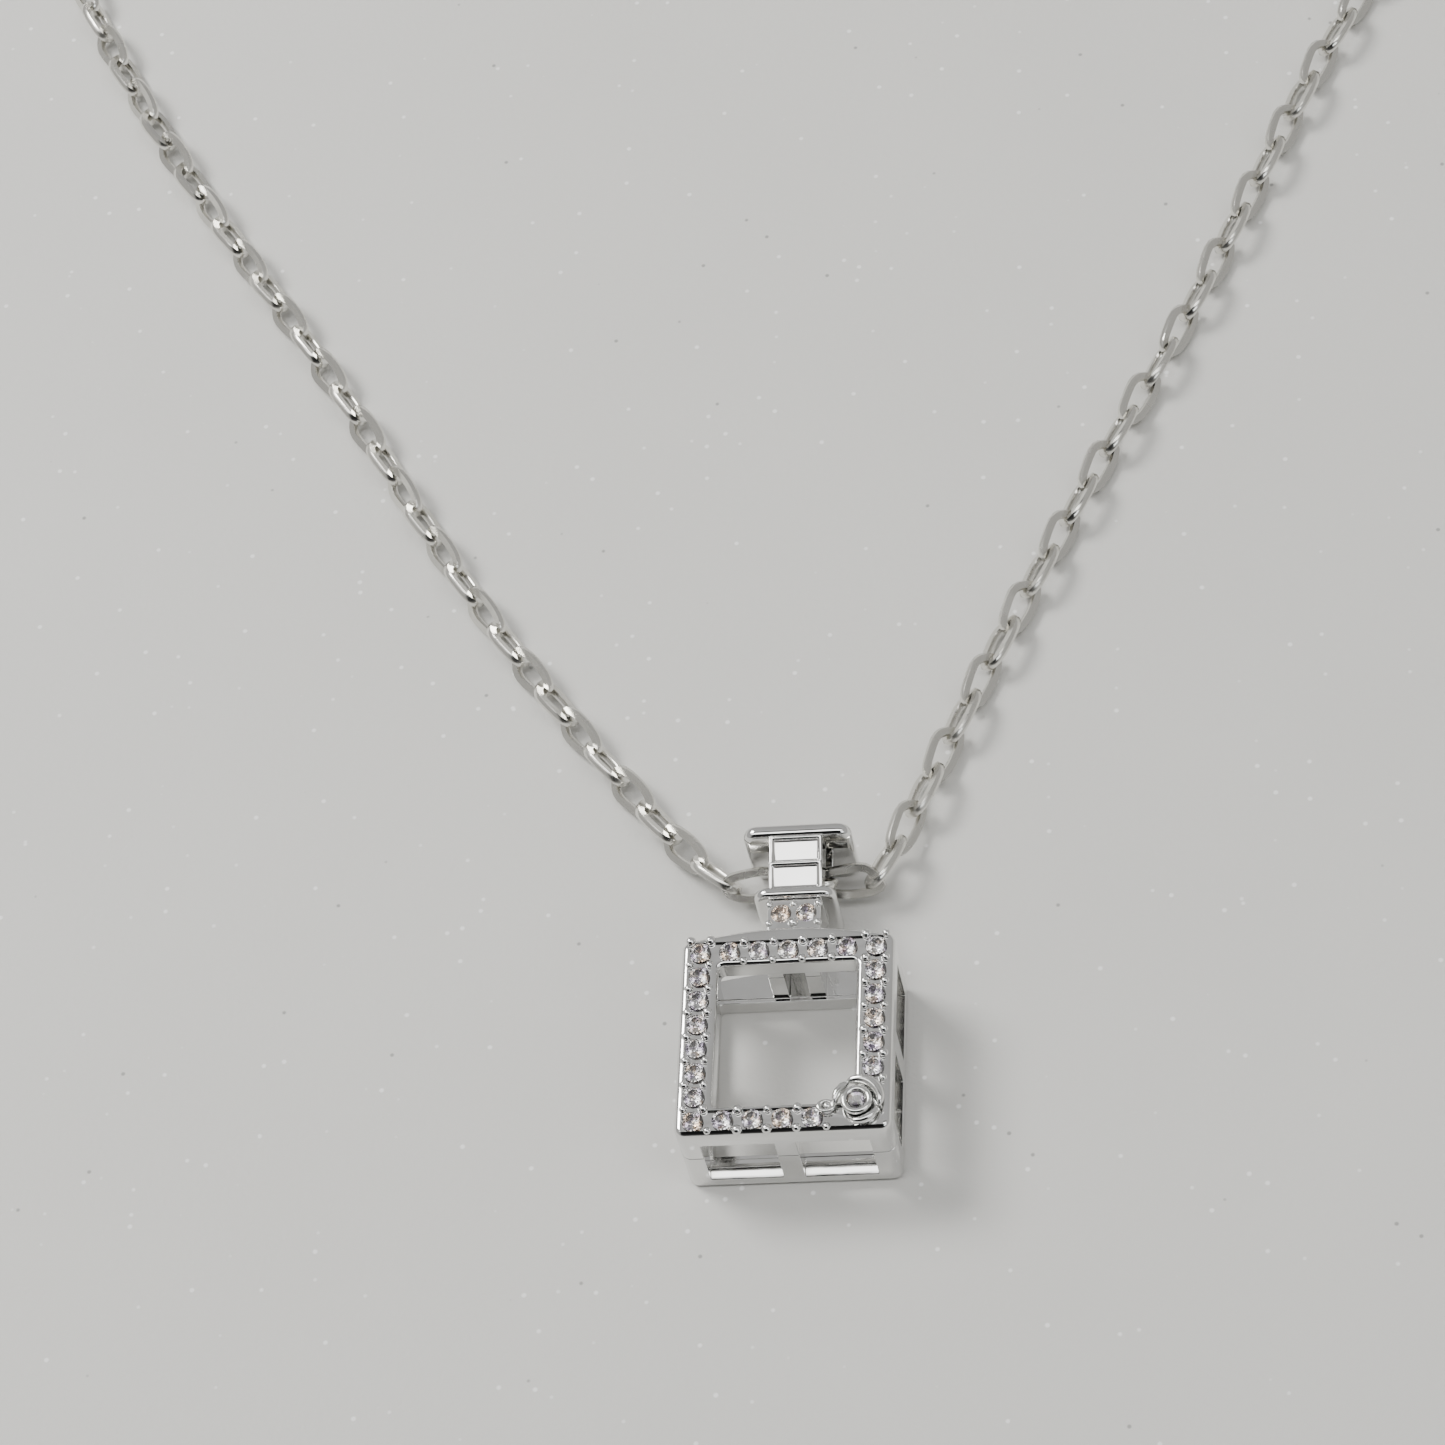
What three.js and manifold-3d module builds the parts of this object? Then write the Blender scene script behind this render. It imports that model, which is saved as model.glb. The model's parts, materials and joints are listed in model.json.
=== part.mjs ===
// Pendant necklace: an open, stone-set square frame with a bottle-neck bail, hung on an oval-link chain.
// Millimetres, +Z up. The pendant lies on its back on z = 0, its bail towards +Y, its middle at x = y = 0.
import * as THREE from "three";
import { mergeVertices } from "three/addons/utils/BufferGeometryUtils.js";
import Module from "manifold-3d";

const wasm = await Module();
wasm.setup();

// Square body: a front casting that holds the stones, soldered to a rear casting.
const BODY_WIDTH = 12;
const BODY_HEIGHT = 12.4;
const BODY_DEPTH = 6.2;
const BODY_CORNER_RADIUS = 0.6;
const SHOULDER_RISE = 0.6;
const SIDE_RAIL_WIDTH = 2.1;
const TOP_RAIL_WIDTH = 1.75;
const BOTTOM_RAIL_WIDTH = 1.75;
const FRONT_RAIL_DEPTH = 1.3;
const REAR_RAIL_DEPTH = 1.1;
const REAR_RAIL_WIDTH = 1.35;
const WALL = 1.1;
const SEAM_HEIGHT = 3.4;
const CORNER_POST_WIDTH = 1.3;
const MIDDLE_POST_WIDTH = 1.2;
const TOP_POST_WIDTH = 0.9;
const TOP_POST_SPREAD = 2.1;
const SOLDER_GAP = 0.02;

// Neck, collar and bail, stacked upwards from the body.
const NECK_WIDTH = 3.05;
const NECK_LENGTH = 2.7;
const NECK_DEPTH = 3.5;
const NECK_LIFT = 1.1;
const NECK_STONE_DROP = 0.95;
const NECK_STONE_SPREAD = 1.44;
const COLLAR_WIDTH = 4.7;
const COLLAR_THICKNESS = 0.7;
const STRAP_THICKNESS = 0.45;
const BLOCK_WIDTH = 3.05;
const BLOCK_DEPTH = 1.75;
const BLOCK_BEVEL = 0.45;
const CAP_WIDTH = 6.2;
const CAP_THICKNESS = 0.85;
const PLATE_CORNER_RADIUS = 0.8;
const CHAIN_CLEARANCE = 0.3;
const COLLAR_TO_CHAIN = 1.9;

// Round stones.
const STONE_RADIUS = 0.6;
const STONE_CROWN = 0.2;
const STONE_GIRDLE = 0.06;
const STONE_PAVILION = 0.48;
const STONE_TABLE_SHARE = 0.58;
const SEAT_CLEARANCE = 0.05;
const SEAT_FLOOR_SHARE = 0.25;
const COLUMN_STONES = 8;
const ROW_STONES = 5;
const ROUND_STEPS = 12;

// Swirl rosette on the lower right corner.
const ROSETTE_FROM_RIGHT = 1.85;
const ROSETTE_FROM_BOTTOM = 1.6;
const ROSETTE_STONE_RADIUS = 0.52;
const ROSETTE_CUP_RADIUS = 0.85;
const ROSETTE_HEIGHT = 0.55;
const PETALS = 5;
const PETAL_LENGTH = 0.72;
const PETAL_WIDTH = 0.4;
const PETAL_ORBIT = 0.95;
const PETAL_SWIRL = THREE.MathUtils.degToRad(28);

// Oval chain link, and the runs of chain that lie free.
const LINK_PITCH = 2.75;
const LINK_LENGTH = 3.95;
const LINK_WIDTH = 2.1;
const LINK_WIRE = 0.5;
const LINK_ROLL = Math.PI / 4;
const CENTRE_LINKS = 3;
const RUN_HALF_THICKNESS = 0.88;
const RUN_SIDES = 8;
const RUN_STEPS = 9;
const RUN_END_GAP = 0.35;

// Lobster clasp and end ring.
const CLASP_THICKNESS = 2.2;
const CLASP_ARM = 1.05;
const CLASP_HEAD_LENGTH = 7.2;
const CLASP_HEAD_WIDTH = 5.2;
const CLASP_HEAD_FROM_EYE = 6.5;
const CLASP_BASE_WIDTH = 3.2;
const CLASP_BASE_LENGTH = 4.4;
const CLASP_BASE_CORNER = 0.5;
const CLASP_EYE_RADIUS = 0.6;
const CLASP_EYE_INSET = 0.6;
const CLASP_EYE_LENGTH = 1.9;
const CLASP_MOUTH_START = 4.6;
const CLASP_MOUTH_END = 7.6;
const LEVER_THICKNESS = 0.9;
const LEVER_WIDTH = 0.9;
const LEVER_SIDE_GAP = 0.25;
const LEVER_BOSS_RADIUS = 0.95;
const LEVER_PIVOT = [3.3, 0.75];
const LEVER_TIP = [6.85, 1.75];
const LEVER_TAB = [3.05, 3.1];
const PIN_RADIUS = 0.3;
const PIN_CLEARANCE = 0.05;
const LEVER_PIN_CLEARANCE = 0.28;
const SPRING_THICKNESS = 0.18;
const SPRING_LENGTH = 2.2;
const RING_WIRE = 0.45;
const CLASP_RING_RADIUS = 1.3;
const CLASP_RING_TO_EYE = 2.45;
const END_RING_RADIUS = 1.9;
const RING_LIFT = 0.02;

// Routes of the free chain, from the centre links outwards: x, y, z of its middle line, run by run.
// Each run starts at the last point of the run before it, where its hinge is.
const LEFT_ROUTE = [
  [[-5.9, 9.8, 1.5], [-8, 12.2, 1.15], [-10.2, 15.1, 0.95], [-12.7, 18.3, 0.9], [-15.3, 21.9, 0.9],
    [-18.1, 25.8, 0.9], [-20.7, 29.7, 0.9], [-23.1, 33.6, 0.9], [-25.6, 37.8, 0.9], [-27.8, 41.7, 0.9],
    [-30.4, 46.1, 0.9]],
  [[-33.2, 50.6, 0.9], [-36.2, 55.2, 0.9], [-39.1, 59.7, 0.9], [-41.7, 63.9, 0.9], [-44.4, 68.5, 0.9],
    [-47, 73.3, 0.9], [-49.4, 78.1, 0.9], [-51.5, 82.8, 0.9], [-52.8, 86.4, 0.9]],
  [[-54, 91, 0.9], [-54.6, 95.5, 0.9], [-54.6, 100, 0.9], [-54, 104.5, 0.9], [-52.3, 109, 0.9],
    [-49.7, 113, 0.9], [-46.2, 116.4, 0.9], [-42.1, 118.9, 0.9], [-36, 120.5, 0.9]],
  [[-32.1, 120, 0.9], [-28.5, 118.4, 0.9], [-25.2, 116, 0.9], [-22, 112.4, 0.9], [-19.6, 108.1, 0.9],
    [-18.2, 103.2, 0.9], [-17.5, 97.6, 0.9], [-17.2, 91.5, 0.9]],
];
const RIGHT_ROUTE = [
  [[5.4, 10.9, 1.45], [7.2, 15.4, 1.05], [9.2, 20.2, 0.9], [11.1, 24.5, 0.9], [12.6, 27.8, 0.9],
    [14.2, 31.2, 0.9], [15.9, 34.8, 0.9], [17.9, 38.9, 0.9], [20, 43, 0.9], [22, 47.1, 0.9],
    [23.5, 50.3, 0.9]],
  [[25.4, 54.7, 0.9], [27.2, 58.8, 0.9], [28.9, 62.7, 0.9], [30.8, 66.9, 0.9], [32.9, 71, 0.9],
    [35, 75.2, 0.9], [36.9, 79.9, 0.9], [38.3, 85, 0.9], [39.1, 90, 0.9], [39.3, 94, 0.9]],
  [[39.4, 99, 0.9], [38.9, 104.2, 0.9], [37.5, 109.4, 0.9], [35.1, 114.4, 0.9], [31.8, 118.9, 0.9],
    [27.7, 122.8, 0.9], [23, 125.7, 0.9], [17.9, 127.3, 0.9], [14.4, 127.6, 0.9]],
  [[9.7, 126.8, 0.9], [5.5, 124.7, 0.9], [2.1, 121.3, 0.9], [-0.3, 117, 0.9], [-1.7, 112.2, 0.9],
    [-2.3, 107.1, 0.9], [-2.5, 102, 0.9], [-2.5, 96.9, 0.9], [-2.5, 91.9, 0.9], [-2.5, 87.4, 0.9]],
];

const chainHole = LINK_WIDTH / 2 + CHAIN_CLEARANCE;
const passageDepth = 2 * chainHole;
const bailDepth = STRAP_THICKNESS + passageDepth + BLOCK_DEPTH;
const passageLength = COLLAR_TO_CHAIN + chainHole;
const bodyLength = BODY_HEIGHT + SHOULDER_RISE;
const pendantLength = bodyLength + NECK_LENGTH + COLLAR_THICKNESS + passageLength + CAP_THICKNESS
  + 4 * SOLDER_GAP;
const bodyBottom = -pendantLength / 2;
const bodyTop = bodyBottom + BODY_HEIGHT;
const neckBottom = bodyTop + SHOULDER_RISE + SOLDER_GAP;
const neckTop = neckBottom + NECK_LENGTH;
const collarBottom = neckTop + SOLDER_GAP;
const passageBottom = collarBottom + COLLAR_THICKNESS;
const passageTop = passageBottom + 2 * SOLDER_GAP + passageLength;
const chainY = passageTop - chainHole;
const chainZ = STRAP_THICKNESS + chainHole;
const rosetteX = BODY_WIDTH / 2 - ROSETTE_FROM_RIGHT;
const rosetteY = bodyBottom + ROSETTE_FROM_BOTTOM;
const rosetteReach = PETAL_ORBIT + PETAL_LENGTH * Math.SQRT1_2;
const group = new THREE.Group();

const polished = () => new THREE.MeshStandardMaterial({ color: 0xdcdcdc, roughness: 0.08, metalness: 1 });
const linkSteel = () => new THREE.MeshStandardMaterial({ color: 0xbdbcb6, roughness: 0.22, metalness: 1 });
const stoneGlass = () => new THREE.MeshStandardMaterial({ color: 0xf4f4f8, roughness: 0.02, metalness: 0 });

function solidOf(geometry) {
  const bare = geometry.clone();
  bare.deleteAttribute("normal");
  bare.deleteAttribute("uv");
  const merged = mergeVertices(bare, 1e-5);
  const vertProperties = new Float32Array(merged.attributes.position.array);
  const triVerts = new Uint32Array(merged.index.array);
  return new wasm.Manifold(new wasm.Mesh({ numProp: 3, vertProperties, triVerts }));
}

function geometryOf(solid) {
  const mesh = solid.getMesh();
  const geometry = new THREE.BufferGeometry();
  geometry.setAttribute("position", new THREE.BufferAttribute(new Float32Array(mesh.vertProperties), 3));
  geometry.setIndex(new THREE.BufferAttribute(new Uint32Array(mesh.triVerts), 1));
  geometry.computeVertexNormals();
  return geometry;
}

function addPiece(name, geometry, material, parent = group) {
  const mesh = new THREE.Mesh(geometry, material);
  mesh.name = name;
  parent.add(mesh);
  return mesh;
}

function box(x0, x1, y0, y1, z0, z1) {
  const geometry = new THREE.BoxGeometry(x1 - x0, y1 - y0, z1 - z0);
  return solidOf(geometry.translate((x0 + x1) / 2, (y0 + y1) / 2, (z0 + z1) / 2));
}

function roundedRectangle(x0, x1, y0, y1, radius) {
  const shape = new THREE.Shape();
  shape.moveTo(x0 + radius, y0);
  shape.lineTo(x1 - radius, y0);
  shape.absarc(x1 - radius, y0 + radius, radius, -Math.PI / 2, 0);
  shape.lineTo(x1, y1 - radius);
  shape.absarc(x1 - radius, y1 - radius, radius, 0, Math.PI / 2);
  shape.lineTo(x0 + radius, y1);
  shape.absarc(x0 + radius, y1 - radius, radius, Math.PI / 2, Math.PI);
  shape.lineTo(x0, y0 + radius);
  shape.absarc(x0 + radius, y0 + radius, radius, Math.PI, 1.5 * Math.PI);
  return shape;
}

// A flat outline pushed straight up to a depth, from z = 0.
function extruded(shape, depth) {
  return new THREE.ExtrudeGeometry(shape, { depth, bevelEnabled: false, curveSegments: 5 });
}

function prism(shape, z0, z1) {
  return solidOf(extruded(shape, z1 - z0).translate(0, 0, z0));
}

function cylinder(x, y, z0, z1, radius) {
  const geometry = new THREE.CylinderGeometry(radius, radius, z1 - z0, ROUND_STEPS);
  return solidOf(geometry.rotateX(Math.PI / 2).translate(x, y, (z0 + z1) / 2));
}

// A profile of radius and height pairs turned about +Z at x, y, z.
function turned(profile, x, y, z) {
  const points = profile.map(([radius, height]) => new THREE.Vector2(radius, height));
  const geometry = new THREE.LatheGeometry(points, ROUND_STEPS);
  return geometry.rotateX(Math.PI / 2).translate(x, y, z);
}

function stoneAt(x, y, z, radius) {
  const scale = radius / STONE_RADIUS;
  const profile = [
    [0, -STONE_PAVILION * scale],
    [radius, -STONE_GIRDLE],
    [radius, 0],
    [radius * STONE_TABLE_SHARE, STONE_CROWN * scale],
    [0, STONE_CROWN * scale],
  ];
  return turned(profile, x, y, z);
}

// The hole that a stone sits in: its own shape with the seat clearance, open towards +Z.
function seatAt(x, y, z, radius) {
  const scale = radius / STONE_RADIUS;
  const wide = radius + SEAT_CLEARANCE;
  const floor = -STONE_PAVILION * scale - 2 * SEAT_CLEARANCE;
  const profile = [
    [0, floor],
    [radius * SEAT_FLOOR_SHARE, floor],
    [wide, -STONE_GIRDLE - SEAT_CLEARANCE],
    [wide, 1],
    [0, 1],
  ];
  return solidOf(turned(profile, x, y, z));
}

// Windows through the four walls of a casting, between its corner and middle posts.
function windows(z0, z1) {
  const halfWidth = BODY_WIDTH / 2;
  const through = 2 * WALL;
  const left = -halfWidth + CORNER_POST_WIDTH;
  const middleY = (bodyBottom + bodyTop) / 2;
  const low = bodyBottom + CORNER_POST_WIDTH;
  const high = bodyTop - CORNER_POST_WIDTH;
  const topPost = (TOP_POST_SPREAD + TOP_POST_WIDTH) / 2;
  const notch = (TOP_POST_SPREAD - TOP_POST_WIDTH) / 2;
  const cuts = [box(-notch, notch, bodyTop - through, bodyTop + through, z0, z1)];
  for (const side of [-1, 1]) {
    const bottomEdges = [side * left, side * (-MIDDLE_POST_WIDTH / 2)].sort((a, b) => a - b);
    const topEdges = [side * left, side * -topPost].sort((a, b) => a - b);
    cuts.push(box(...bottomEdges, bodyBottom - through, bodyBottom + through, z0, z1));
    cuts.push(box(...topEdges, bodyTop - through, bodyTop + through, z0, z1));
    const wallEdges = [side * halfWidth - through, side * halfWidth + through];
    cuts.push(box(...wallEdges, low, middleY - MIDDLE_POST_WIDTH / 2, z0, z1));
    cuts.push(box(...wallEdges, middleY + MIDDLE_POST_WIDTH / 2, high, z0, z1));
  }
  return cuts;
}

// The body's outline from the front. Its top edge rises in one shallow arc towards the neck.
function bodyOutline() {
  const halfWidth = BODY_WIDTH / 2;
  const halfChord = halfWidth - BODY_CORNER_RADIUS;
  const archRadius = (halfChord ** 2 + SHOULDER_RISE ** 2) / (2 * SHOULDER_RISE);
  const archAngle = Math.asin(halfChord / archRadius);
  const low = bodyBottom + BODY_CORNER_RADIUS;
  const high = bodyTop - BODY_CORNER_RADIUS;
  const shape = new THREE.Shape();
  shape.moveTo(-halfChord, bodyBottom);
  shape.absarc(halfChord, low, BODY_CORNER_RADIUS, -Math.PI / 2, 0);
  shape.absarc(halfChord, high, BODY_CORNER_RADIUS, 0, Math.PI / 2);
  const archMiddle = bodyTop + SHOULDER_RISE - archRadius;
  shape.absarc(0, archMiddle, archRadius, Math.PI / 2 - archAngle, Math.PI / 2 + archAngle);
  shape.absarc(-halfChord, high, BODY_CORNER_RADIUS, Math.PI / 2, Math.PI);
  shape.absarc(-halfChord, low, BODY_CORNER_RADIUS, Math.PI, 1.5 * Math.PI);
  return shape;
}

function cavity(wall, z0, z1) {
  const halfWidth = BODY_WIDTH / 2 - wall;
  return box(-halfWidth, halfWidth, bodyBottom + wall, bodyTop - wall, z0, z1);
}

// The stones along the four rails, without those that the rosette would stand on.
function stonePlaces() {
  const columnX = BODY_WIDTH / 2 - SIDE_RAIL_WIDTH / 2;
  const lowY = bodyBottom + BOTTOM_RAIL_WIDTH / 2;
  const highY = bodyTop - TOP_RAIL_WIDTH / 2;
  const places = [];
  for (let i = 0; i < COLUMN_STONES; i += 1) {
    const y = lowY + ((highY - lowY) * i) / (COLUMN_STONES - 1);
    places.push(["left", i + 1, -columnX, y]);
    places.push(["right", i + 1, columnX, y]);
  }
  for (let i = 1; i <= ROW_STONES; i += 1) {
    const x = -columnX + (2 * columnX * i) / (ROW_STONES + 1);
    places.push(["bottom", i, x, lowY]);
    places.push(["top", i, x, highY]);
  }
  const clear = rosetteReach + STONE_RADIUS;
  return places.filter(([, , x, y]) => Math.hypot(x - rosetteX, y - rosetteY) > clear);
}

function addBody() {
  const innerZ = BODY_DEPTH - FRONT_RAIL_DEPTH;
  const over = 1;
  let front = prism(bodyOutline(), SEAM_HEIGHT, BODY_DEPTH);
  const openingX = BODY_WIDTH / 2 - SIDE_RAIL_WIDTH;
  const openingY = [bodyBottom + BOTTOM_RAIL_WIDTH, bodyTop - TOP_RAIL_WIDTH];
  front = front.subtract(box(-openingX, openingX, ...openingY, SEAM_HEIGHT - over, BODY_DEPTH + over));
  front = front.subtract(cavity(WALL, SEAM_HEIGHT - over, innerZ));
  for (const cut of windows(SEAM_HEIGHT - over, innerZ)) {
    front = front.subtract(cut);
  }
  for (const [side, number, x, y] of stonePlaces()) {
    front = front.subtract(seatAt(x, y, BODY_DEPTH, STONE_RADIUS));
    addPiece(`stone_${side}_${number}`, stoneAt(x, y, BODY_DEPTH, STONE_RADIUS), stoneGlass());
  }
  addPiece("front_frame", geometryOf(front), polished());

  let rear = prism(bodyOutline(), 0, SEAM_HEIGHT - SOLDER_GAP);
  rear = rear.subtract(cavity(REAR_RAIL_WIDTH, -over, REAR_RAIL_DEPTH + over));
  rear = rear.subtract(cavity(WALL, REAR_RAIL_DEPTH, SEAM_HEIGHT + over));
  for (const cut of windows(REAR_RAIL_DEPTH, SEAM_HEIGHT + over)) {
    rear = rear.subtract(cut);
  }
  addPiece("rear_frame", geometryOf(rear), polished());
}

function addRosette() {
  const base = BODY_DEPTH + SOLDER_GAP;
  const top = base + ROSETTE_HEIGHT;
  let rosette = cylinder(rosetteX, rosetteY, base, top - ROSETTE_HEIGHT / 4, ROSETTE_CUP_RADIUS);
  for (let i = 0; i < PETALS; i += 1) {
    const petal = new THREE.SphereGeometry(1, 12, 8);
    petal.scale(PETAL_LENGTH, PETAL_WIDTH, ROSETTE_HEIGHT);
    petal.rotateZ(Math.PI / 2 - PETAL_SWIRL);
    petal.translate(PETAL_ORBIT, 0, base);
    petal.rotateZ((2 * Math.PI * i) / PETALS);
    petal.translate(rosetteX, rosetteY, 0);
    rosette = rosette.add(solidOf(petal));
  }
  const reach = 2 * (PETAL_ORBIT + PETAL_LENGTH);
  rosette = rosette.subtract(
    box(rosetteX - reach, rosetteX + reach, rosetteY - reach, rosetteY + reach, base - reach, base),
  );
  const stoneZ = top - ROSETTE_HEIGHT / 4;
  const seat = cylinder(rosetteX, rosetteY, base - 1, top + 1, ROSETTE_STONE_RADIUS + SEAT_CLEARANCE);
  rosette = rosette.subtract(seat);
  addPiece("rosette", geometryOf(rosette), polished());
  addPiece("rosette_stone", stoneAt(rosetteX, rosetteY, stoneZ, ROSETTE_STONE_RADIUS), stoneGlass());
}

// A rounded plate that lies across the bail: its outline is drawn in X and Z, its thickness runs along Y.
function crossPlate(width, y0, y1, depth) {
  const outline = roundedRectangle(-width / 2, width / 2, 0, depth, PLATE_CORNER_RADIUS);
  return extruded(outline, y1 - y0).rotateX(Math.PI / 2).translate(0, y1, 0);
}

// The faceted stopper block in front of the chain.
function stopperBlock(y0, y1) {
  const z0 = STRAP_THICKNESS + passageDepth;
  const z1 = z0 + BLOCK_DEPTH;
  let block = box(-BLOCK_WIDTH / 2, BLOCK_WIDTH / 2, y0, y1, z0, z1);
  const size = BLOCK_BEVEL * Math.SQRT2;
  const long = 2 * (y1 - y0);
  const middle = (y0 + y1) / 2;
  const edges = [
    [-BLOCK_WIDTH / 2, middle, true],
    [BLOCK_WIDTH / 2, middle, true],
    [0, y0, false],
    [0, y1, false],
  ];
  for (const [x, y, along] of edges) {
    const cut = new THREE.BoxGeometry(size, long, size);
    cut.rotateY(Math.PI / 4);
    if (!along) {
      cut.rotateZ(Math.PI / 2);
    }
    block = block.subtract(solidOf(cut.translate(x, y, z1)));
  }
  return block;
}

function addBail() {
  const neckFront = NECK_LIFT + NECK_DEPTH;
  let neck = box(-NECK_WIDTH / 2, NECK_WIDTH / 2, neckBottom, neckTop, NECK_LIFT, neckFront);
  const stoneY = neckTop - NECK_STONE_DROP;
  for (const [name, side] of [["left", -1], ["right", 1]]) {
    const x = (side * NECK_STONE_SPREAD) / 2;
    neck = neck.subtract(seatAt(x, stoneY, neckFront, STONE_RADIUS));
    addPiece(`neck_stone_${name}`, stoneAt(x, stoneY, neckFront, STONE_RADIUS), stoneGlass());
  }
  addPiece("neck", geometryOf(neck), polished());
  addPiece("collar", crossPlate(COLLAR_WIDTH, collarBottom, passageBottom, bailDepth), polished());
  const low = passageBottom + SOLDER_GAP;
  const high = passageTop - SOLDER_GAP;
  const strap = box(-BLOCK_WIDTH / 2, BLOCK_WIDTH / 2, low, high, 0, STRAP_THICKNESS);
  addPiece("bail_strap", geometryOf(strap), polished());
  addPiece("stopper_block", geometryOf(stopperBlock(low, high)), polished());
  addPiece("cap", crossPlate(CAP_WIDTH, passageTop, passageTop + CAP_THICKNESS, bailDepth), polished());
}

// One oval wire ring about +Z, longer along X where length is over width.
function ovalRing(length, width, wire) {
  const halfLength = (length - wire) / 2;
  const halfWidth = (width - wire) / 2;
  const geometry = new THREE.TorusGeometry(1, wire / 2, 8, 20);
  const place = geometry.attributes.position;
  for (let i = 0; i < place.count; i += 1) {
    const angle = Math.atan2(place.getY(i), place.getX(i));
    const outward = Math.hypot(place.getX(i), place.getY(i)) - 1;
    const normal = new THREE.Vector2(halfWidth * Math.cos(angle), halfLength * Math.sin(angle)).normalize();
    const x = halfLength * Math.cos(angle) + outward * normal.x;
    const y = halfWidth * Math.sin(angle) + outward * normal.y;
    place.setXYZ(i, x, y, place.getZ(i));
  }
  return geometry;
}

function addCentreLinks() {
  const first = -((CENTRE_LINKS - 1) / 2) * LINK_PITCH;
  for (let i = 0; i < CENTRE_LINKS; i += 1) {
    const link = ovalRing(LINK_LENGTH, LINK_WIDTH, LINK_WIRE);
    link.rotateX(i % 2 === 0 ? LINK_ROLL : -LINK_ROLL);
    const piece = addPiece(`centre_link_${i + 1}`, link, linkSteel());
    piece.position.set(first + i * LINK_PITCH, chainY, chainZ);
  }
}

function runCurve(points) {
  return new THREE.CatmullRomCurve3(points.map((point) => new THREE.Vector3(...point)));
}

// A plain tube of the chain's outer size along one run, ending a little short of the hinge at each end.
function addRun(name, points, startGap, endGap) {
  const whole = runCurve(points);
  const length = whole.getLength();
  const trimmed = [];
  for (let i = 0; i <= RUN_STEPS; i += 1) {
    const along = startGap + ((length - startGap - endGap) * i) / RUN_STEPS;
    trimmed.push(whole.getPointAt(along / length));
  }
  const section = new THREE.Shape();
  const corner = RUN_HALF_THICKNESS / Math.cos(Math.PI / RUN_SIDES);
  for (let i = 0; i < RUN_SIDES; i += 1) {
    const angle = (2 * Math.PI * (i + 0.5)) / RUN_SIDES;
    section[i ? "lineTo" : "moveTo"](corner * Math.cos(angle), corner * Math.sin(angle));
  }
  const extrudePath = new THREE.CatmullRomCurve3(trimmed);
  const tube = new THREE.ExtrudeGeometry(section, { steps: RUN_STEPS, extrudePath, bevelEnabled: false });
  addPiece(name, tube, linkSteel());
}

// All the runs of one side. Returns the end point of the last one and its heading.
function addSide(side, start, route, lastGap) {
  let from = start;
  let heading = 0;
  route.forEach((list, index) => {
    const points = [from, ...list];
    const endGap = index === route.length - 1 ? lastGap : RUN_END_GAP;
    const startGap = index === 0 ? LINK_LENGTH / 2 - LINK_PITCH / 2 + RUN_END_GAP : RUN_END_GAP;
    addRun(`chain_${side}_${index + 1}`, points, startGap, endGap);
    from = list[list.length - 1];
    const before = points[points.length - 2];
    heading = Math.atan2(from[1] - before[1], from[0] - before[0]);
  });
  return { place: from, heading };
}

// A round wire ring about +Z, its middle at the origin.
function roundRing(radius) {
  return new THREE.TorusGeometry(radius, RING_WIRE / 2, 8, 20);
}

// A group that starts at the last hinge of a side, with local +X along the chain's heading.
function endGroup(place, heading) {
  const end = new THREE.Group();
  end.position.set(place[0], place[1], 0);
  end.rotation.z = heading;
  group.add(end);
  return end;
}

function addEndRing(end) {
  const ring = roundRing(END_RING_RADIUS).translate(END_RING_RADIUS, 0, RING_WIRE / 2 + RING_LIFT);
  addPiece("end_ring", ring, linkSteel(), end);
}

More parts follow.
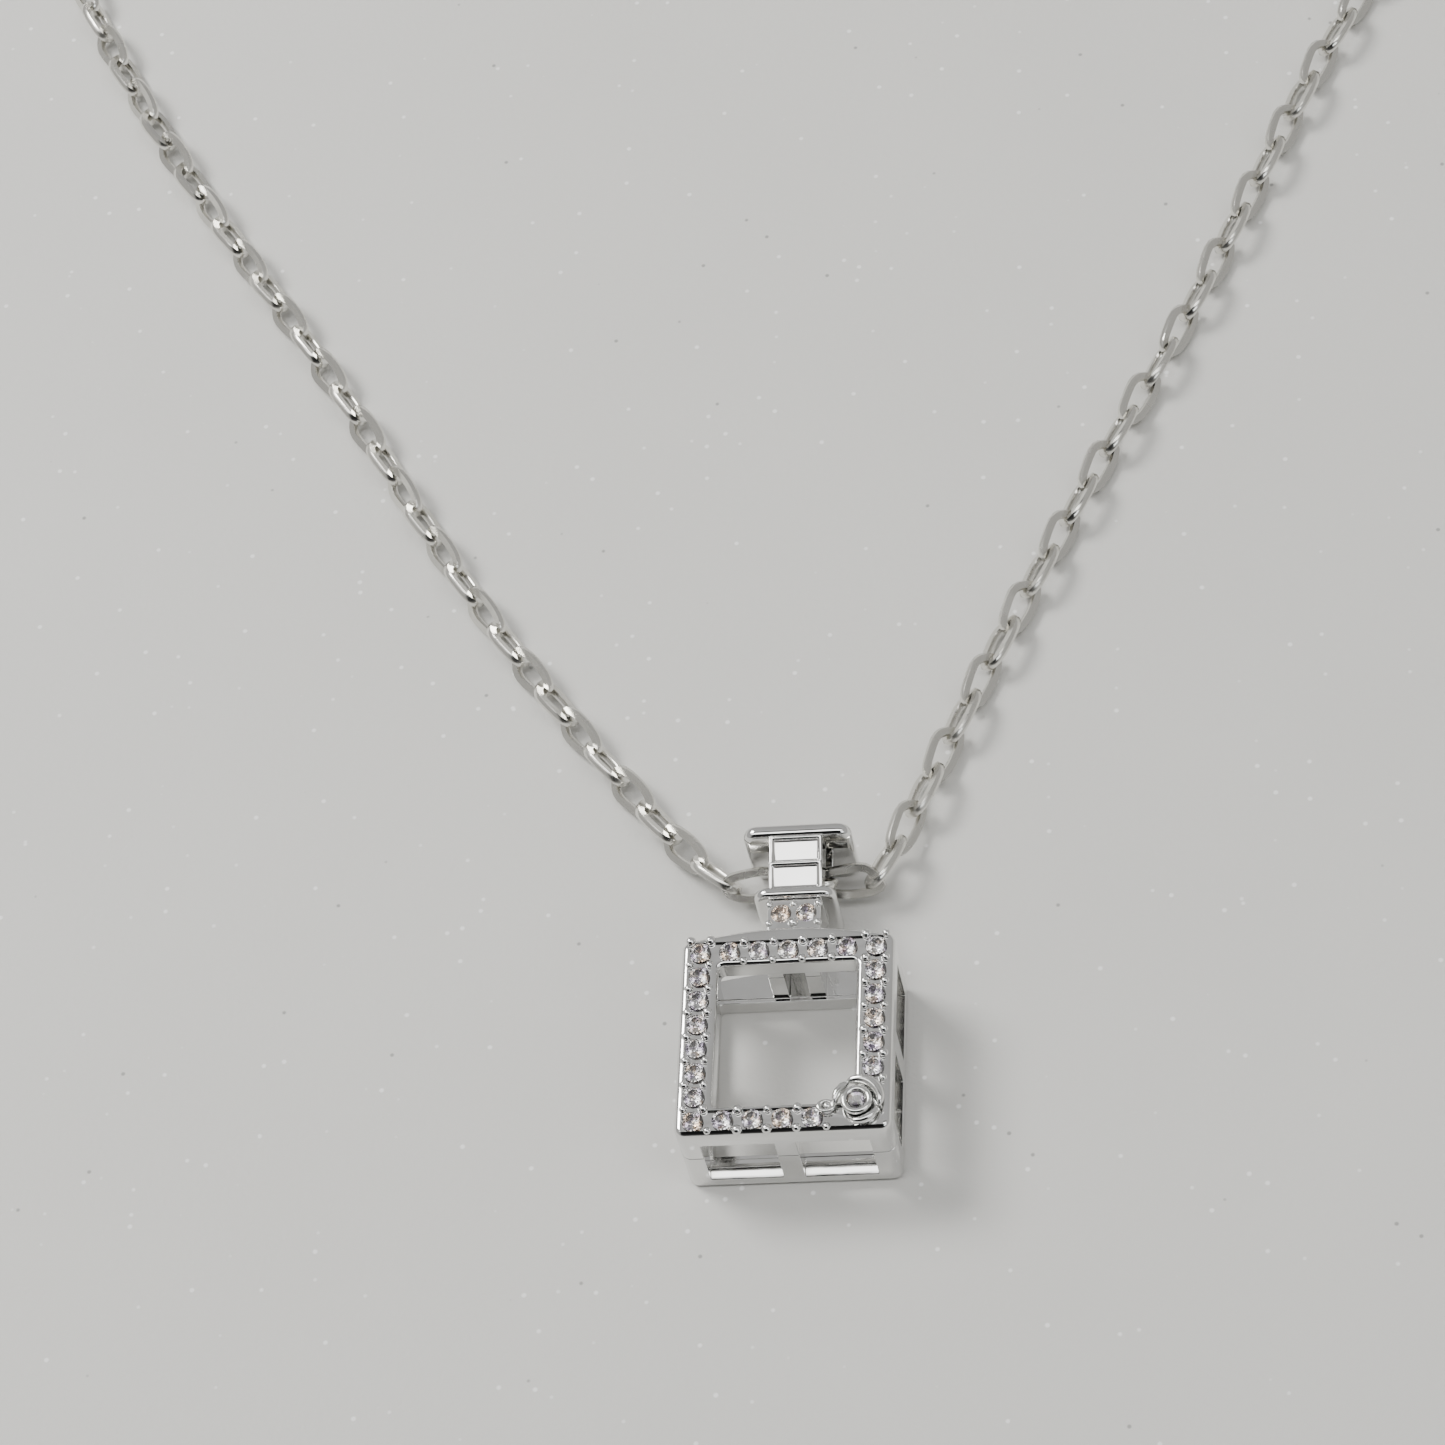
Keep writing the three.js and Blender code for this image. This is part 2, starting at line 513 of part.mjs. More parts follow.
// The clasp lies flat, held by an upright ring. Its eye is at the inner group's origin.
function addClasp(end) {
  const ring = roundRing(CLASP_RING_RADIUS).rotateX(Math.PI / 2);
  ring.translate(CLASP_RING_RADIUS, 0, CLASP_RING_RADIUS + RING_WIRE / 2 + RING_LIFT);
  addPiece("clasp_ring", ring, linkSteel(), end);
  const clasp = new THREE.Group();
  clasp.position.x = CLASP_RING_TO_EYE;
  end.add(clasp);
  const middleZ = CLASP_THICKNESS / 2;
  const head = new THREE.Shape();
  head.absellipse(CLASP_HEAD_FROM_EYE, 0, CLASP_HEAD_LENGTH / 2, CLASP_HEAD_WIDTH / 2, 0, 2 * Math.PI);
  const hole = new THREE.Shape();
  const innerLength = CLASP_HEAD_LENGTH / 2 - CLASP_ARM;
  const innerWidth = CLASP_HEAD_WIDTH / 2 - CLASP_ARM;
  hole.absellipse(CLASP_HEAD_FROM_EYE, 0, innerLength, innerWidth, 0, 2 * Math.PI);
  let body = prism(head, 0, CLASP_THICKNESS);
  const baseStart = CLASP_EYE_LENGTH - CLASP_EYE_RADIUS;
  const baseEnd = baseStart + CLASP_BASE_LENGTH;
  const baseHalf = CLASP_BASE_WIDTH / 2;
  const base = roundedRectangle(baseStart, baseEnd, -baseHalf, baseHalf, CLASP_BASE_CORNER);
  body = body.add(prism(base, 0, CLASP_THICKNESS));
  body = body.subtract(prism(hole, -1, CLASP_THICKNESS + 1));
  const eyeLow = CLASP_EYE_INSET;
  const eyeHigh = CLASP_THICKNESS - CLASP_EYE_INSET;
  body = body.add(cylinder(0, 0, eyeLow, eyeHigh, 2 * CLASP_EYE_RADIUS));
  const shankEnd = baseStart + CLASP_BASE_CORNER;
  body = body.add(box(0, shankEnd, -CLASP_EYE_RADIUS, CLASP_EYE_RADIUS, eyeLow, eyeHigh));
  body = body.subtract(cylinder(0, 0, -1, CLASP_THICKNESS + 1, CLASP_EYE_RADIUS));
  body = body.subtract(box(CLASP_MOUTH_START, CLASP_MOUTH_END, 0, CLASP_HEAD_WIDTH, -1, CLASP_THICKNESS + 1));
  const slotHalf = LEVER_THICKNESS / 2 + LEVER_SIDE_GAP;
  const slotStart = LEVER_PIVOT[0] - LEVER_BOSS_RADIUS - CHAIN_CLEARANCE;
  const slotEnd = CLASP_MOUTH_START + CHAIN_CLEARANCE;
  const slotLow = LEVER_PIVOT[1] - LEVER_BOSS_RADIUS - CHAIN_CLEARANCE;
  const slot = box(slotStart, slotEnd, slotLow, CLASP_HEAD_WIDTH, middleZ - slotHalf, middleZ + slotHalf);
  body = body.subtract(slot);
  body = body.subtract(cylinder(...LEVER_PIVOT, -1, CLASP_THICKNESS + 1, PIN_RADIUS + PIN_CLEARANCE));
  addPiece("clasp_body", geometryOf(body), linkSteel(), clasp);

  const pin = cylinder(...LEVER_PIVOT, PIN_CLEARANCE, CLASP_THICKNESS - PIN_CLEARANCE, PIN_RADIUS);
  addPiece("clasp_pin", geometryOf(pin), linkSteel(), clasp);

  const leverLow = middleZ - LEVER_THICKNESS / 2;
  const leverHigh = middleZ + LEVER_THICKNESS / 2;
  let lever = cylinder(...LEVER_PIVOT, leverLow, leverHigh, LEVER_BOSS_RADIUS);
  for (const end of [LEVER_TIP, LEVER_TAB]) {
    const long = Math.hypot(end[0] - LEVER_PIVOT[0], end[1] - LEVER_PIVOT[1]);
    const bar = new THREE.BoxGeometry(long, LEVER_WIDTH, LEVER_THICKNESS).translate(long / 2, 0, middleZ);
    bar.rotateZ(Math.atan2(end[1] - LEVER_PIVOT[1], end[0] - LEVER_PIVOT[0]));
    lever = lever.add(solidOf(bar.translate(LEVER_PIVOT[0], LEVER_PIVOT[1], 0)));
    lever = lever.add(cylinder(...end, leverLow, leverHigh, LEVER_WIDTH / 2));
  }
  lever = lever.subtract(cylinder(...LEVER_PIVOT, -1, CLASP_THICKNESS + 1, PIN_RADIUS + LEVER_PIN_CLEARANCE));
  addPiece("clasp_lever", geometryOf(lever), linkSteel(), clasp);

  const springX = slotStart + SOLDER_GAP + SPRING_THICKNESS / 2;
  const spring = new THREE.BoxGeometry(SPRING_THICKNESS, SPRING_LENGTH, LEVER_THICKNESS);
  spring.translate(springX, LEVER_PIVOT[1], middleZ);
  addPiece("clasp_spring", spring, linkSteel(), clasp);
}

addBody();
addRosette();
addBail();
addCentreLinks();
const centreEnd = (CENTRE_LINKS / 2) * LINK_PITCH;
const ringGap = RING_WIRE / 2 + CHAIN_CLEARANCE;
const leftEnd = addSide("left", [-centreEnd, chainY, chainZ], LEFT_ROUTE, ringGap);
const rightEnd = addSide("right", [centreEnd, chainY, chainZ], RIGHT_ROUTE, ringGap);
addClasp(endGroup(leftEnd.place, leftEnd.heading));
addEndRing(endGroup(rightEnd.place, rightEnd.heading));

export default group;
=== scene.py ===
"""Pendant necklace: an open square frame set with round stones, its bail, oval-link chain and clasp.

Metres, +Z up. The pendant lies on its back on z = 0, its bail towards +Y.
"""
import json
import math
import random

import bpy
from mathutils import Matrix, Vector


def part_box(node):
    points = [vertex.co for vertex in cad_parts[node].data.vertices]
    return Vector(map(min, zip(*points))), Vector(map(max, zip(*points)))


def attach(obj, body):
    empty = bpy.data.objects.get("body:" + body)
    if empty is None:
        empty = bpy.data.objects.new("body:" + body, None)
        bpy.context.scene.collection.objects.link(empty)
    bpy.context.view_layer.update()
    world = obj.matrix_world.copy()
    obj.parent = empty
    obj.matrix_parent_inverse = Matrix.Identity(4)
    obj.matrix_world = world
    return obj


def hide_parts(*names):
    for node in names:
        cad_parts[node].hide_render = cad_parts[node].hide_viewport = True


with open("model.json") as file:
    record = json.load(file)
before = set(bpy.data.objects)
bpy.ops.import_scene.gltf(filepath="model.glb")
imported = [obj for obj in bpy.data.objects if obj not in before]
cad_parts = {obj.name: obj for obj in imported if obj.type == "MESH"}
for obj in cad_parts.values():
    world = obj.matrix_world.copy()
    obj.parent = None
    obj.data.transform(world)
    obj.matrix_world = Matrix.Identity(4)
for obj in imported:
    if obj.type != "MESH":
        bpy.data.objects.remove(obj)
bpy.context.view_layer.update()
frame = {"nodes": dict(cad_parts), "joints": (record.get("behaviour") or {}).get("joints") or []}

MM = 0.001
X, Y, Z = Vector((1, 0, 0)), Vector((0, 1, 0)), Vector((0, 0, 1))

# Sizes that the frame's boxes don't give.
SIDE_RAIL = 2.1 * MM
END_RAIL = 1.75 * MM
FRONT_RAIL_DEPTH = 1.3 * MM
REAR_RAIL_DEPTH = 1.1 * MM
REAR_RAIL = 1.35 * MM
WALL = 1.1 * MM
CORNER_POST = 1.3 * MM
MIDDLE_POST = 1.2 * MM
TOP_POST = 0.9 * MM
TOP_POST_SPREAD = 2.1 * MM
CORNER_RADIUS = 0.6 * MM
SHOULDER_RISE = 0.6 * MM
FRONT_ROUNDING = 0.36 * MM
INNER_ROUNDING = 0.28 * MM
SILL_SLOPE = 0.6 * MM
SILL_FALL = math.tan(math.radians(24))
STONE_RADIUS = 0.6 * MM
STONE_CROWN = 0.2 * MM
CHANNEL_DEPTH = 0.16 * MM
CHANNEL_BORDER = Vector((0.4, 0.25, 0)) * MM
GRAIN_RADIUS = 0.28 * MM
SIDE_RAIL_BEADS = 0.56 * MM
END_RAIL_BEADS = 0.62 * MM
BEAD_TO_EDGE = 0.24 * MM
BEAD_TO_ROSETTE = 1.55 * MM
LINK_PITCH = 2.75 * MM
LINK_LENGTH = 3.95 * MM
LINK_WIDTH = 2.1 * MM
LINK_WIRE = 0.56 * MM
LINK_THICKNESS = 0.42 * MM
LINK_ROLL = math.radians(45)
RING_WIRE = 0.45 * MM
PLATE_CORNER = 0.8 * MM
CLASP_THICKNESS = 2.2 * MM
GATE_PIVOT = Vector((3.3, 0.75, 1.1)) * MM
HAIR = 0.01 * MM

CAMERA_AZIMUTH, CAMERA_ELEVATION, CAMERA_ROLL = (math.radians(a) for a in (15.46, 56, -15.87))
CAMERA_TARGET = Vector((-5.38, 20.49, 0)) * MM
CAMERA_DISTANCE = 0.3
LENS_MM, SENSOR_MM = 126.9, 36

# The room's light from the horizon in front (0) over the top (0.5) to the horizon behind (1).
ARCH_OF_ROOM = ((0, 0.2), (0.1, 0.05), (0.2, 0.01), (0.385, 0.012), (0.41, 4.4), (0.475, 4.6), (0.5, 0.5),
                (0.53, 0.05), (0.56, 0.08), (0.585, 0.56), (0.75, 0.5), (1, 0.46))
SIDE_WALLS = (0.5, 0.495, 0.48)

# The free chain's route on each side, in millimetres, run by run from the middle links outwards.
LEFT_ROUTE = [
    [(-5.9, 9.8, 1.5), (-8, 12.2, 1.15), (-10.2, 15.1, 0.95), (-12.7, 18.3, 0.9), (-15.3, 21.9, 0.9),
     (-18.1, 25.8, 0.9), (-20.7, 29.7, 0.9), (-23.1, 33.6, 0.9), (-25.6, 37.8, 0.9), (-27.8, 41.7, 0.9),
     (-30.4, 46.1, 0.9)],
    [(-33.2, 50.6, 0.9), (-36.2, 55.2, 0.9), (-39.1, 59.7, 0.9), (-41.7, 63.9, 0.9), (-44.4, 68.5, 0.9),
     (-47, 73.3, 0.9), (-49.4, 78.1, 0.9), (-51.5, 82.8, 0.9), (-52.8, 86.4, 0.9)],
    [(-54, 91, 0.9), (-54.6, 95.5, 0.9), (-54.6, 100, 0.9), (-54, 104.5, 0.9), (-52.3, 109, 0.9),
     (-49.7, 113, 0.9), (-46.2, 116.4, 0.9), (-42.1, 118.9, 0.9), (-36, 120.5, 0.9)],
    [(-32.1, 120, 0.9), (-28.5, 118.4, 0.9), (-25.2, 116, 0.9), (-22, 112.4, 0.9), (-19.6, 108.1, 0.9),
     (-18.2, 103.2, 0.9), (-17.5, 97.6, 0.9), (-17.2, 91.5, 0.9)],
]
RIGHT_ROUTE = [
    [(5.4, 10.9, 1.45), (7.2, 15.4, 1.05), (9.2, 20.2, 0.9), (11.1, 24.5, 0.9), (12.6, 27.8, 0.9),
     (14.2, 31.2, 0.9), (15.9, 34.8, 0.9), (17.9, 38.9, 0.9), (20, 43, 0.9), (22, 47.1, 0.9),
     (23.5, 50.3, 0.9)],
    [(25.4, 54.7, 0.9), (27.2, 58.8, 0.9), (28.9, 62.7, 0.9), (30.8, 66.9, 0.9), (32.9, 71, 0.9),
     (35, 75.2, 0.9), (36.9, 79.9, 0.9), (38.3, 85, 0.9), (39.1, 90, 0.9), (39.3, 94, 0.9)],
    [(39.4, 99, 0.9), (38.9, 104.2, 0.9), (37.5, 109.4, 0.9), (35.1, 114.4, 0.9), (31.8, 118.9, 0.9),
     (27.7, 122.8, 0.9), (23, 125.7, 0.9), (17.9, 127.3, 0.9), (14.4, 127.6, 0.9)],
    [(9.7, 126.8, 0.9), (5.5, 124.7, 0.9), (2.1, 121.3, 0.9), (-0.3, 117, 0.9), (-1.7, 112.2, 0.9),
     (-2.3, 107.1, 0.9), (-2.5, 102, 0.9), (-2.5, 96.9, 0.9), (-2.5, 91.9, 0.9), (-2.5, 87.4, 0.9)],
]


# ---------------------------------------------------------------- camera


def add_camera():
    """The camera looks down at the pendant from the front and a little from its right, and leans."""
    level = math.cos(CAMERA_ELEVATION)
    back = Vector((math.sin(CAMERA_AZIMUTH) * level, -math.cos(CAMERA_AZIMUTH) * level,
                   math.sin(CAMERA_ELEVATION)))
    side = (-back).cross(Z).normalized()
    up = side.cross(-back)
    across = side * math.cos(CAMERA_ROLL) + up * math.sin(CAMERA_ROLL)
    upright = up * math.cos(CAMERA_ROLL) - side * math.sin(CAMERA_ROLL)
    data = bpy.data.cameras.new("camera")
    data.lens = LENS_MM
    data.sensor_width = SENSOR_MM
    data.clip_start = 0.01
    camera = bpy.data.objects.new("camera", data)
    bpy.context.scene.collection.objects.link(camera)
    turn = Matrix((across, upright, back)).transposed().to_4x4()
    camera.matrix_world = Matrix.Translation(CAMERA_TARGET + back * CAMERA_DISTANCE) @ turn
    bpy.context.scene.camera = camera


# ---------------------------------------------------------------- bench tools


def begin():
    """Nothing selected, in object mode, before a primitive is added."""
    if bpy.context.object and bpy.context.object.mode != "OBJECT":
        bpy.ops.object.mode_set(mode="OBJECT")
    bpy.ops.object.select_all(action="DESELECT")


def named(name):
    piece = bpy.context.object
    piece.name = name
    piece.data.name = name
    bpy.ops.object.transform_apply(location=True, rotation=True, scale=True)
    return piece


def block(name, low, high):
    begin()
    low, high = Vector(low), Vector(high)
    bpy.ops.mesh.primitive_cube_add(size=1, location=(low + high) / 2, scale=high - low)
    return named(name)


def rod(name, centre, radius, depth, sides=24, axis=Z):
    begin()
    turn = Z.rotation_difference(axis).to_euler()
    bpy.ops.mesh.primitive_cylinder_add(
        vertices=sides, radius=radius, depth=depth, location=centre, rotation=turn)
    return named(name)


def editing(piece, kind="VERT"):
    """Makes the piece the one to edit, nothing of it selected, selecting by vertex, edge or face."""
    begin()
    bpy.context.view_layer.objects.active = piece
    piece.select_set(True)
    bpy.ops.object.mode_set(mode="EDIT")
    bpy.ops.mesh.select_mode(type=kind)
    bpy.ops.mesh.select_all(action="DESELECT")
    bpy.ops.object.mode_set(mode="OBJECT")


def pick_edges(piece, wanted):
    """Selects the edges that wanted(start, end) accepts and opens edit mode."""
    editing(piece, "EDGE")
    points = piece.data.vertices
    for edge in piece.data.edges:
        start, end = (points[i].co for i in edge.vertices)
        edge.select = bool(wanted(start, end))
    bpy.ops.object.mode_set(mode="EDIT")


def pick_faces(piece, wanted):
    """Selects the faces that wanted(centre, normal) accepts and opens edit mode."""
    editing(piece, "FACE")
    for face in piece.data.polygons:
        face.select = bool(wanted(face.center, face.normal))
    bpy.ops.object.mode_set(mode="EDIT")


def pick_points(piece, wanted):
    """Selects the vertices that wanted(place) accepts and opens edit mode."""
    editing(piece)
    for point in piece.data.vertices:
        point.select = bool(wanted(point.co))
    bpy.ops.object.mode_set(mode="EDIT")


def done(piece):
    bpy.ops.object.mode_set(mode="OBJECT")
    piece.select_set(False)


def apply(piece, modifier):
    begin()
    bpy.context.view_layer.objects.active = piece
    piece.select_set(True)
    bpy.ops.object.modifier_apply(modifier=modifier.name)
    piece.select_set(False)


def enlarge(piece):
    """Makes the piece a thousand times larger, its points on a fine grid so that flat faces meet."""
    piece.data.transform(Matrix.Scale(1 / MM, 4))
    for point in piece.data.vertices:
        point.co = [round(c, 4) for c in point.co]


def combine(piece, others, operation):
    """Cuts or joins at a thousand times the size, where the tool is exact, and scales back."""
    enlarge(piece)
    for other in others:
        enlarge(other)
        modifier = piece.modifiers.new(operation.lower(), "BOOLEAN")
        modifier.operation = operation
        modifier.solver = "EXACT"
        modifier.object = other
        apply(piece, modifier)
        bpy.data.objects.remove(other)
    piece.data.transform(Matrix.Scale(MM, 4))


def cut(piece, *cutters):
    """Takes the cutters' shapes out of the piece."""
    combine(piece, cutters, "DIFFERENCE")


def weld(piece, *others):
    """Joins the others' shapes to the piece as one solid."""
    combine(piece, others, "UNION")


def ease(piece, width, angle=40, segments=2):
    """A fine bevel on every edge sharper than the angle, once the flat faces are whole."""
    editing(piece)
    bpy.ops.object.mode_set(mode="EDIT")
    bpy.ops.mesh.select_all(action="SELECT")
    bpy.ops.mesh.dissolve_limited(angle_limit=math.radians(0.3))
    bpy.ops.mesh.select_all(action="SELECT")
    bpy.ops.mesh.remove_doubles(threshold=0.004 * MM)
    done(piece)
    modifier = piece.modifiers.new("ease", "BEVEL")
    modifier.width = width
    modifier.segments = segments
    modifier.limit_method = "ANGLE"
    modifier.angle_limit = math.radians(angle)
    modifier.use_clamp_overlap = True
    modifier.miter_outer = "MITER_ARC"
    apply(piece, modifier)


def round_uprights(piece, radius, segments=5, reach=0):
    """Rounds the upright edges that stand at least the reach away from x = 0."""
    pick_edges(piece, lambda a, b: abs((b - a).normalized().dot(Z)) > 0.99 and abs(a.x) >= reach)
    bpy.ops.mesh.bevel(offset=radius, segments=segments, affect="EDGES")
    done(piece)


def soften(piece, angle=35):
    """Smooth shading that leaves the flat faces flat."""
    begin()
    bpy.context.view_layer.objects.active = piece
    piece.select_set(True)
    bpy.ops.object.shade_smooth_by_angle(angle=math.radians(angle))
    piece.select_set(False)
    modifier = piece.modifiers.new("flat faces", "WEIGHTED_NORMAL")
    modifier.keep_sharp = True
    apply(piece, modifier)


def copy_of(piece, name, place):
    """A copy with its own mesh, moved by the matrix."""
    twin = piece.copy()
    twin.data = piece.data.copy()
    twin.name = name
    twin.data.transform(place)
    bpy.context.scene.collection.objects.link(twin)
    return twin


def joined(name, parts):
    begin()
    for part in parts:
        part.select_set(True)
    bpy.context.view_layer.objects.active = parts[0]
    bpy.ops.object.join()
    piece = bpy.context.object
    piece.name = name
    piece.data.name = name
    piece.select_set(False)
    return piece


def finished(piece, material, body, slot, *nodes):
    piece.data.materials.clear()
    piece.data.materials.append(material)
    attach(piece, body)
    if nodes:
        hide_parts(*nodes)
    return piece


# ---------------------------------------------------------------- materials


def new_group(name, inputs, outputs):
    group = bpy.data.node_groups.new(name, "ShaderNodeTree")
    for label, value in inputs:
        socket = group.interface.new_socket(name=label, in_out="INPUT", socket_type="NodeSocketFloat")
        socket.default_value = value
    for label in outputs:
        group.interface.new_socket(name=label, in_out="OUTPUT", socket_type="NodeSocketFloat")
    return group, group.nodes.new("NodeGroupInput"), group.nodes.new("NodeGroupOutput")


def colour_mix(nodes):
    node = nodes.new("ShaderNodeMix")
    node.data_type = "RGBA"
    return node


def math_step(nodes, operation):
    node = nodes.new("ShaderNodeMath")
    node.operation = operation
    return node


def remapped(nodes, low, high):
    """Spreads the values between low and high over 0 to 1."""
    node = nodes.new("ShaderNodeMapRange")
    node.inputs["From Min"].default_value = low
    node.inputs["From Max"].default_value = high
    return node


def noise(nodes, scale=5, detail=2):
    node = nodes.new("ShaderNodeTexNoise")
    node.inputs["Scale"].default_value = scale
    node.inputs["Detail"].default_value = detail
    return node


def scratch_group():
    """Fine hairlines and soft smudges: a height for the hairlines and a mask for the smudges."""
    group, given, out = new_group(
        "polish_wear", [("Hairline Scale", 900), ("Smudge Scale", 350)], ["Hairlines", "Smudges"])
    nodes, link = group.nodes, group.links.new
    place = nodes.new("ShaderNodeTexCoord")
    total = None
    for turn in (0.4, 1.5, 2.5):
        stretch = nodes.new("ShaderNodeMapping")
        stretch.inputs["Rotation"].default_value = (0.3 * turn, 0.7, turn)
        stretch.inputs["Scale"].default_value = (0.06, 1, 1)
        lines = noise(nodes, detail=3)
        sharpen = remapped(nodes, 0.6, 0.72)
        link(place.outputs["Object"], stretch.inputs["Vector"])
        link(stretch.outputs["Vector"], lines.inputs["Vector"])
        link(given.outputs["Hairline Scale"], lines.inputs["Scale"])
        link(lines.outputs["Fac"], sharpen.inputs["Value"])
        if total is None:
            total = sharpen.outputs["Result"]
        else:
            most = math_step(nodes, "MAXIMUM")
            link(total, most.inputs[0])
            link(sharpen.outputs["Result"], most.inputs[1])
            total = most.outputs["Value"]
    link(total, out.inputs["Hairlines"])
    smudge = noise(nodes, detail=4)
    spread = remapped(nodes, 0.4, 0.7)
    link(place.outputs["Object"], smudge.inputs["Vector"])
    link(given.outputs["Smudge Scale"], smudge.inputs["Scale"])
    link(smudge.outputs["Fac"], spread.inputs["Value"])
    link(spread.outputs["Result"], out.inputs["Smudges"])
    return group


def ripple_group():
    """The slow waves of a cast and tumbled surface, and a mask of its sharp outer edges for a painted edge
    highlight.
    """
    group, given, out = new_group("cast_surface", [("Wave Scale", 900)], ["Waves", "Edges"])
    nodes, link = group.nodes, group.links.new
    place = nodes.new("ShaderNodeTexCoord")
    waves = noise(nodes, detail=1.5)
    shape = nodes.new("ShaderNodeNewGeometry")
    edges = remapped(nodes, 0.5, 0.62)
    link(place.outputs["Object"], waves.inputs["Vector"])
    link(given.outputs["Wave Scale"], waves.inputs["Scale"])
    link(waves.outputs["Fac"], out.inputs["Waves"])
    # Pointiness marks the sharp outer edges; the metals lighten their colour there, a painted highlight.
    link(shape.outputs["Pointiness"], edges.inputs["Value"])
    link(edges.outputs["Result"], out.inputs["Edges"])
    return group


def fresh_material(name, colour):
    material = bpy.data.materials.new(name)
    material.use_nodes = True
    material.diffuse_color = (*colour, 1)
    return material, material.node_tree.nodes, material.node_tree.links.new


def placed(nodes, group, **values):
    node = nodes.new("ShaderNodeGroup")
    node.node_tree = group
    for label, value in values.items():
        node.inputs[label.replace("_", " ")].default_value = value
    return node


def metal(name, light, dull, rough, wear, wave_depth, hairline_depth, scales):
    """A plated metal: its colour goes from light to dull in the smudges, and its sharp edges are lightened,
    a painted highlight.
    """
    material, nodes, link = fresh_material(name, light)
    shader = nodes["Principled BSDF"]
    shader.inputs["Metallic"].default_value = 1
    hairline_scale, smudge_scale, wave_scale = scales
    scratches = placed(nodes, GROUPS["wear"], Hairline_Scale=hairline_scale, Smudge_Scale=smudge_scale)
    surface = placed(nodes, GROUPS["cast"], Wave_Scale=wave_scale)
    soiled = colour_mix(nodes)
    soiled.inputs["A"].default_value = (*light, 1)
    soiled.inputs["B"].default_value = (*dull, 1)
    # Painted highlight: the colour is lightened by an eighth on the sharp edges.
    bright = colour_mix(nodes)
    bright.inputs["B"].default_value = (*(min(1, c * 1.12) for c in light), 1)
    link(scratches.outputs["Smudges"], soiled.inputs["Factor"])
    link(soiled.outputs["Result"], bright.inputs["A"])
    link(surface.outputs["Edges"], bright.inputs["Factor"])
    link(bright.outputs["Result"], shader.inputs["Base Color"])
    roughness = nodes.new("ShaderNodeMapRange")
    roughness.inputs["To Min"].default_value = rough
    roughness.inputs["To Max"].default_value = rough + wear
    link(scratches.outputs["Smudges"], roughness.inputs["Value"])
    link(roughness.outputs["Result"], shader.inputs["Roughness"])
    waves = nodes.new("ShaderNodeBump")
    waves.inputs["Distance"].default_value = wave_depth
    hairs = nodes.new("ShaderNodeBump")
    hairs.invert = True
    hairs.inputs["Distance"].default_value = hairline_depth
    link(surface.outputs["Waves"], waves.inputs["Height"])
    link(scratches.outputs["Hairlines"], hairs.inputs["Height"])
    link(waves.outputs["Normal"], hairs.inputs["Normal"])
    link(hairs.outputs["Normal"], shader.inputs["Normal"])
    return material


def clear_stone():
    """A colourless faceted stone with a painted fire: small violet, white and amber patches in its colour.
    """
    material, nodes, link = fresh_material("clear_stone", (0.95, 0.95, 1))
    shader = nodes["Principled BSDF"]
    shader.inputs["Roughness"].default_value = 0.01
    shader.inputs["IOR"].default_value = 2.1
    shader.inputs["Transmission Weight"].default_value = 1
    place = nodes.new("ShaderNodeTexCoord")
    cells = noise(nodes, 1600)
    # Painted fire: violet and amber patches in the colour stand in for the coloured flashes of light from
    # the facets.
    painted_fire = nodes.new("ShaderNodeValToRGB")
    ramp = painted_fire.color_ramp
    ramp.elements[0].position = 0.38
    ramp.elements[0].color = (0.32, 0.25, 0.4, 1)
    ramp.elements[1].position = 0.62
    ramp.elements[1].color = (0.86, 0.62, 0.44, 1)
    for position in (0.46, 0.55):
        plain = ramp.elements.new(position)
        plain.color = (1, 1, 1, 1)
    link(place.outputs["Object"], cells.inputs["Vector"])
    link(cells.outputs["Fac"], painted_fire.inputs["Fac"])
    link(painted_fire.outputs["Color"], shader.inputs["Base Color"])
    return material


